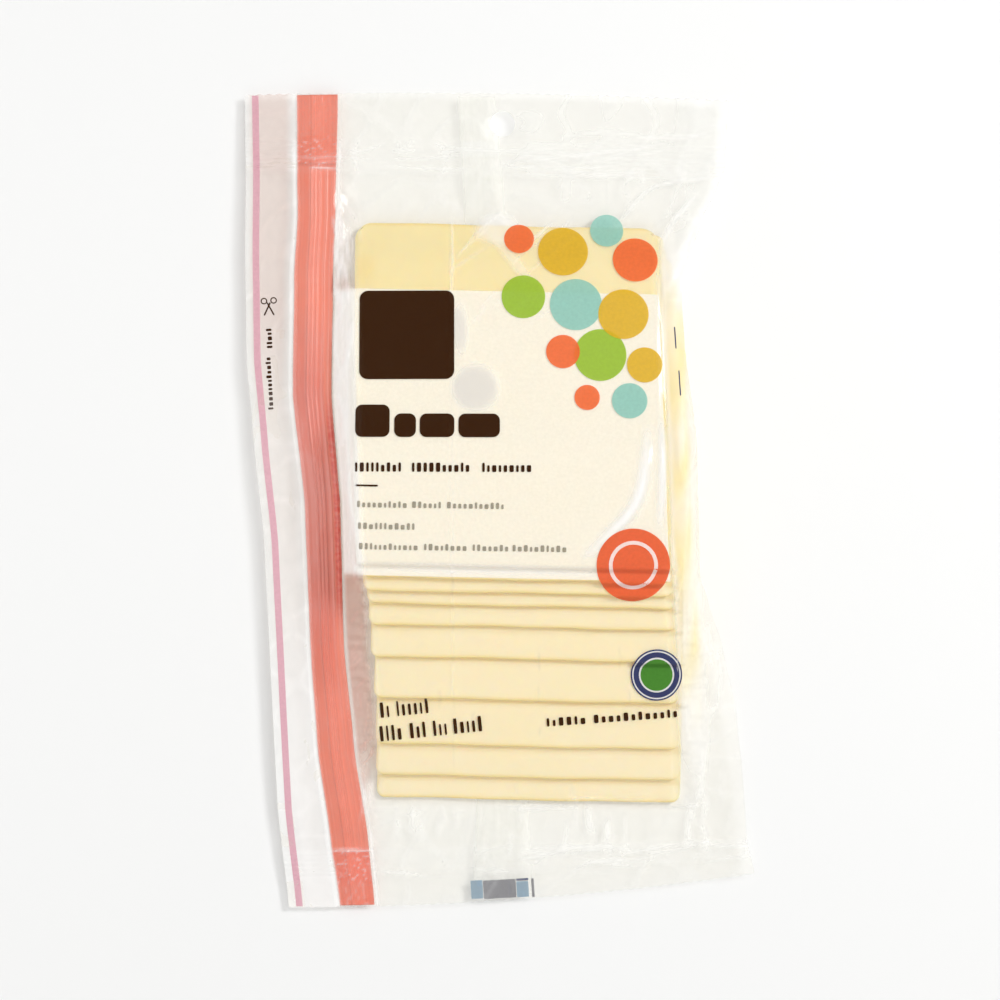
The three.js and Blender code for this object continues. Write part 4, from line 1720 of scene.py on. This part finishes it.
@dataclass(frozen=True)
class FilmPrint:
    """The print on the films: a pale panel, plain blocks, block rows and a pattern of discs."""

    form: PackForm
    surface: FilmSurface
    panel_top: float = 59.8
    panel_bottom: float = -25.5
    panel_depth: float = 0.2
    panel_insets: Range = (0.6, 1.4)
    panel_faces: tuple[int, int] = (140, 116)
    tear_line: Range = (2.2, 4.2)
    tear_line_end: float = 0.5
    tear_line_lift: float = 0.08
    tear_line_faces: tuple[int, int] = (4, 620)
    back_drop: float = 0.035
    line_turn: float = -3.4

    def marks(self) -> list[Mark]:
        """Returns the marks on the front film."""
        return self.headings() + self.small_rows() + self.side_marks() + self.badges() + self.discs()

    def headings(self) -> list[Mark]:
        """Returns the plain block and the bars under it."""
        tilt = self.line_turn
        marks: list[Mark] = [
            Block("print_block", Ink.BROWN, -25.6, 48.0, 28.2, 26.6, 2.6, turn=tilt + 1.2),
            Block("short_dash", Ink.BROWN, -39.0, 3.7, 6.8, 0.55, 0.27, 0.4, turn=tilt),
        ]
        bars = ((-36.6, 10.2, 9.6), (-27.0, 6.4, 7.0), (-17.6, 10.2, 7.0), (-5.2, 12.2, 7.0))
        for i, (x, width, height) in enumerate(bars):
            y = 17.9 + height / 2 - 0.045 * (x + 36)
            marks.append(Block(f"title_bar_{i + 1}", Ink.BROWN, x, y, width, height, 2.0,
                               turn=tilt + 1.0))
        return marks

    def small_rows(self) -> list[Mark]:
        """Returns the block rows in the places of the small print."""
        tilt = self.line_turn
        rows: list[Mark] = []
        for i, (x, width) in enumerate(((-35.2, 14.0), (-16.4, 18.0), (2.2, 14.0))):
            y = 9.0 - 0.045 * (x + 36)
            rows.append(BlockRow(f"subtitle_row_{i + 1}", Ink.BROWN, x, y, width, 2.7, 1.0, 0.7,
                                 turn=tilt + 1.0))
        lines = ((-1.6, (14.5, 8.5, 17.0)), (-8.0, (16.5,)), (-14.0, (17.5, 12.5, 10.0, 16.0)))
        for i, (y, widths) in enumerate(lines):
            x = -42.0
            for j, width in enumerate(widths):
                middle = x + width / 2
                level = y - 0.055 * (middle + 42.2)
                rows.append(BlockRow(f"small_row_{i + 1}_{j + 1}", Ink.GREY, middle, level, width, 1.9,
                                     0.9, 0.65, turn=tilt))
                x += width + 1.7
        quantity = ((-36.6, -63.6, 4.0), (-28.4, -63.1, 10.4), (-35.2, -70.6, 7.6),
                    (-27.2, -70.1, 5.4), (-20.6, -69.7, 4.6), (-12.6, -69.2, 8.4))
        for i, (x, y, width) in enumerate(quantity):
            rows.append(BlockRow(f"quantity_row_{i + 1}", Ink.BROWN, x, y, width, 4.6, 0.85, 0.95,
                                 turn=3.4))
        for i, (x, width) in enumerate(((17.4, 12.4), (38.6, 26.4))):
            y = -69.3 + 0.03 * (x - 17.2)
            rows.append(BlockRow(f"lower_row_{i + 1}", Ink.BROWN, x, y, width, 2.5, 1.1, 1.0, turn=1.7))
        return rows

    def side_marks(self) -> list[Mark]:
        """Returns the marks beside the tear line and by the stack's right side."""
        return [
            BlockRow("side_row_1", Ink.BROWN, -67.9, 35.6, 15.4, 1.6, 0.85, 0.5, turn=91.0),
            BlockRow("side_row_2", Ink.BROWN, -67.4, 49.6, 6.4, 1.7, 0.95, 0.45, turn=91.0),
            Ring("cut_mark_ring_1", Ink.BROWN, -68.5, 60.6, 1.0, 0.35, 20),
            Ring("cut_mark_ring_2", Ink.BROWN, -65.6, 60.7, 1.0, 0.35, 20),
            Block("cut_mark_blade_1", Ink.BROWN, -66.6, 58.2, 0.45, 4.4, 0.2, 0.4, turn=27.0),
            Block("cut_mark_blade_2", Ink.BROWN, -67.6, 58.2, 0.45, 4.4, 0.2, 0.4, turn=-27.0,
                  depth=-0.09),
            Block("side_rule_1", Ink.NAVY, 54.3, 44.0, 0.4, 6.6, 0.2, 0.4, turn=1.0),
            Block("side_rule_2", Ink.NAVY, 55.0, 30.4, 0.4, 7.6, 0.2, 0.4, turn=1.0),
        ]

    def badges(self) -> list[Mark]:
        """Returns the round badge and the round seal, each with plain rings."""
        return [
            Block("badge_disc", Ink.BADGE, 38.3, -23.0, 21.6, 21.6, 10.8, 0.42, depth=-0.05),
            Ring("badge_ring", Ink.WHITE, 38.3, -23.0, 7.2, 1.1, depth=-0.11),
            Block("seal_disc", Ink.NAVY, 44.6, -56.4, 15.5, 15.5, 7.75, 0.42, depth=-0.04),
            Ring("seal_rim", Ink.WHITE, 44.6, -56.4, 7.3, 0.4, depth=-0.1),
            Ring("seal_ring", Ink.WHITE, 44.6, -56.4, 5.3, 0.5, depth=-0.1),
            Block("seal_core", Ink.SEAL_GREEN, 44.6, -56.4, 9.6, 9.6, 4.8, 0.42, depth=-0.12),
        ]

    def discs(self) -> list[Mark]:
        """Returns the overlapping discs that fill the upper right of the panel."""
        places = (
            (Ink.CORAL, 9.0, 76.0, 9.0), (Ink.MUSTARD, 22.0, 71.5, 15.0),
            (Ink.TEAL, 35.5, 77.5, 10.0), (Ink.CORAL, 43.5, 68.0, 13.5),
            (Ink.GREEN, 9.5, 58.0, 13.0), (Ink.TEAL, 25.0, 55.0, 15.5),
            (Ink.MUSTARD, 39.0, 51.5, 15.0), (Ink.CORAL, 20.5, 41.0, 10.0),
            (Ink.GREEN, 31.5, 39.5, 15.5), (Ink.MUSTARD, 44.5, 36.0, 10.5),
            (Ink.TEAL, 39.5, 25.5, 10.5), (Ink.CORAL, 27.0, 27.0, 7.5),
        )
        return [Block(f"print_disc_{i + 1}", ink, x, y, size, size, size / 2,
                      depth=-0.04 - 0.03 * (i % 4))
                for i, (ink, x, y, size) in enumerate(places)]

    def lay(self, mark: Mark, height: Callable[[Array, Array], Array]) -> bpy.types.Mesh:
        """Makes a mark and lays it on a film.

        Args:
            mark: The mark.
            height: The film's height at places of the pack.

        Returns:
            The mark's mesh.
        """
        mesh = mark.flat_mesh()
        across, along, _ = places_of(mesh).T
        turn = math.radians(mark.turn)
        x = mark.x + across * math.cos(turn) - along * math.sin(turn)
        y = mark.y + across * math.sin(turn) + along * math.cos(turn)
        place(mesh, np.column_stack([x, y, height(x, y) - mark.depth]))
        return mesh

    def printed(self, mark: Mark, height: Callable[[Array, Array], Array],
                inks: dict[Ink, bpy.types.Material]) -> bpy.types.Object:
        """Returns a mark laid on a film and finished in its ink."""
        return finished(self.lay(mark, height), inks[mark.ink], INK_SLOTS[mark.ink], "bag")

    def build_marks(self, inks: dict[Ink, bpy.types.Material]) -> list[bpy.types.Object]:
        """Returns the marks on the front film."""
        return [self.printed(mark, self.surface.height, inks) for mark in self.marks()]

    def build_panel(self, inks: dict[Ink, bpy.types.Material]) -> bpy.types.Object:
        """Builds the pale panel, from the zipper strip round to the slices' right side.

        Args:
            inks: The inks' finishes.

        Returns:
            The piece.
        """
        form = self.form
        mesh = grid_mesh("pale_panel", *self.panel_faces)
        across, along = grid_shares(mesh)
        row = mix(self.panel_bottom, self.panel_top, along)
        left = form.meet(row, form.zipper_right) + self.panel_insets[0]
        right = form.meet(row, form.stack_right) - self.panel_insets[1]
        x = mix(left, right, across)
        y = form.cross_line(row, x)
        place(mesh, np.column_stack([x, y, self.surface.height(x, y) - self.panel_depth]))
        return finished(mesh, inks[Ink.WHITE], "ink_white", "bag")

    def build_tear_line(self, inks: dict[Ink, bpy.types.Material]) -> bpy.types.Object:
        """Builds the pink line along the left edge.

        Args:
            inks: The inks' finishes.

        Returns:
            The piece.
        """
        form = self.form
        mesh = grid_mesh("tear_line", *self.tear_line_faces)
        across, along = grid_shares(mesh)
        row = mix(form.bottom_edge + self.tear_line_end, form.top_edge - self.tear_line_end, along)
        x = form.meet(row, form.left_edge) + mix(*self.tear_line, across)
        y = form.cross_line(row, x)
        place(mesh, np.column_stack([x, y, self.surface.height(x, y) + self.tear_line_lift]))
        return finished(mesh, inks[Ink.PINK], "tear_line", "bag")

    def build_back_blocks(self, inks: dict[Ink, bpy.types.Material]) -> list[bpy.types.Object]:
        """Builds the blocks printed on the back film at its bottom end.

        Args:
            inks: The inks' finishes.

        Returns:
            The pieces.
        """
        marks = (
            Block("back_block_1", Ink.GREY_BLUE, -11.9, -119.4, 3.6, 5.6, 0.1, turn=1.0, depth=0.0),
            Block("back_block_2", Ink.SLATE, -5.0, -119.5, 9.8, 5.6, 0.1, turn=1.0, depth=0.0),
            Block("back_block_3", Ink.GREY_BLUE, 1.9, -119.8, 3.6, 4.8, 0.1, turn=1.0, depth=0.0),
            Block("back_block_4", Ink.NAVY, 1.9, -116.9, 3.6, 0.7, 0.1, turn=1.0, depth=0.0),
            Block("back_block_5", Ink.SLATE, 5.0, -119.5, 0.8, 5.6, 0.1, turn=1.0, depth=0.0),
        )

        def under(x: Array, y: Array) -> Array:
            return self.surface.back_height(x, self.form.row_of(x, y)) - self.back_drop

        return [self.printed(mark, under, inks) for mark in marks]


@dataclass(frozen=True)
class Studio:
    """The pale floor, the soft lights and the camera over the pack."""

    camera_height: float = 0.667
    optical_axis: Range = (0.0, -0.0022)
    roll: float = math.radians(2.4)
    lens: float = 79.2
    floor_size: float = 4.0
    world_strength: float = 0.41
    lights: tuple[tuple[str, tuple[float, float, float], float, float, bool], ...] = (
        ("key_light", (0.78, 0.38, 0.85), 0.3, 8.0, True),
        ("side_light", (0.45, -0.12, 1.05), 0.3, 0.8, True),
        ("fill_light", (-0.9, 0.1, 0.55), 0.8, 5.0, False),
        ("low_light", (0.1, -0.9, 0.8), 0.8, 2.2, False),
    )

    def build(self) -> None:
        """Sets up the floor, the lights, the camera and the colour management."""
        floor = grid_mesh("studio_floor", 8, 8)
        place(floor, places_of(floor) * self.floor_size / 2)
        floor.materials.append(StudioPaper().build())
        stage = bpy.data.objects.new("studio_floor", floor)
        bpy.context.scene.collection.objects.link(stage)
        for light in self.lights:
            self.light(*light)
        world = bpy.data.worlds.new("studio_world")
        world.use_nodes = True
        background = world.node_tree.nodes["Background"]
        background.inputs["Color"].default_value = (1, 1, 1, 1)
        background.inputs["Strength"].default_value = self.world_strength
        scene = bpy.context.scene
        scene.world = world
        data = bpy.data.cameras.new("camera")
        data.lens = self.lens
        camera = bpy.data.objects.new("camera", data)
        camera.location = (*self.optical_axis, self.camera_height)
        camera.rotation_euler = (0.0, 0.0, -self.roll)
        scene.collection.objects.link(camera)
        scene.camera = camera
        scene.view_settings.view_transform = "Standard"
        scene.cycles.transparent_max_bounces = 16
        scene.cycles.max_bounces = 6
        scene.cycles.diffuse_bounces = 3
        scene.cycles.adaptive_threshold = 0.05
        scene.cycles.glossy_bounces = 2
        scene.cycles.use_denoising = True

    def light(self, name: str, where: tuple[float, float, float], size: float, power: float,
              casts_shadow: bool) -> None:
        """Adds a square soft light that points at the pack.

        Args:
            name: The light's name.
            where: Its place.
            size: Its side.
            power: Its power in watts.
            casts_shadow: Whether it casts shadows; a fill light casts none.
        """
        data = bpy.data.lights.new(name, "AREA")
        data.use_shadow = casts_shadow
        data.size = size
        data.energy = power
        lamp = bpy.data.objects.new(name, data)
        lamp.location = where
        lamp.rotation_euler = (-Vector(where)).to_track_quat("-Z", "Y").to_euler()
        bpy.context.scene.collection.objects.link(lamp)


def main() -> None:
    """Builds the pack's pieces in order, then the studio."""
    form = PackForm()
    surface = FilmSurface(form, FilmFolds(), FilmMilk())
    film = ClearFilm().build()
    back_film = ClearFilm(name="clear_coextruded_back_film", tint="#fefdfa").build()
    inks = {ink: ink.value.build() for ink in Ink}
    bag = FilmBag(form, surface)
    bag.build_front(film)
    bag.build_back(back_film)
    bag.build_fin(film)
    CheeseStack(form).build(SlicedCheese().build())
    zipper = ZipperStrip(form, surface)
    zipper.build_band(ZipperPlastic().build())
    zipper.build_web(film)
    printed = FilmPrint(form, surface)
    printed.build_panel(inks)
    printed.build_marks(inks)
    printed.build_tear_line(inks)
    printed.build_back_blocks(inks)
    Studio().build()


if __name__ == "__main__":
    logging.basicConfig(level=logging.INFO, format="%(name)s: %(message)s")
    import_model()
    main()
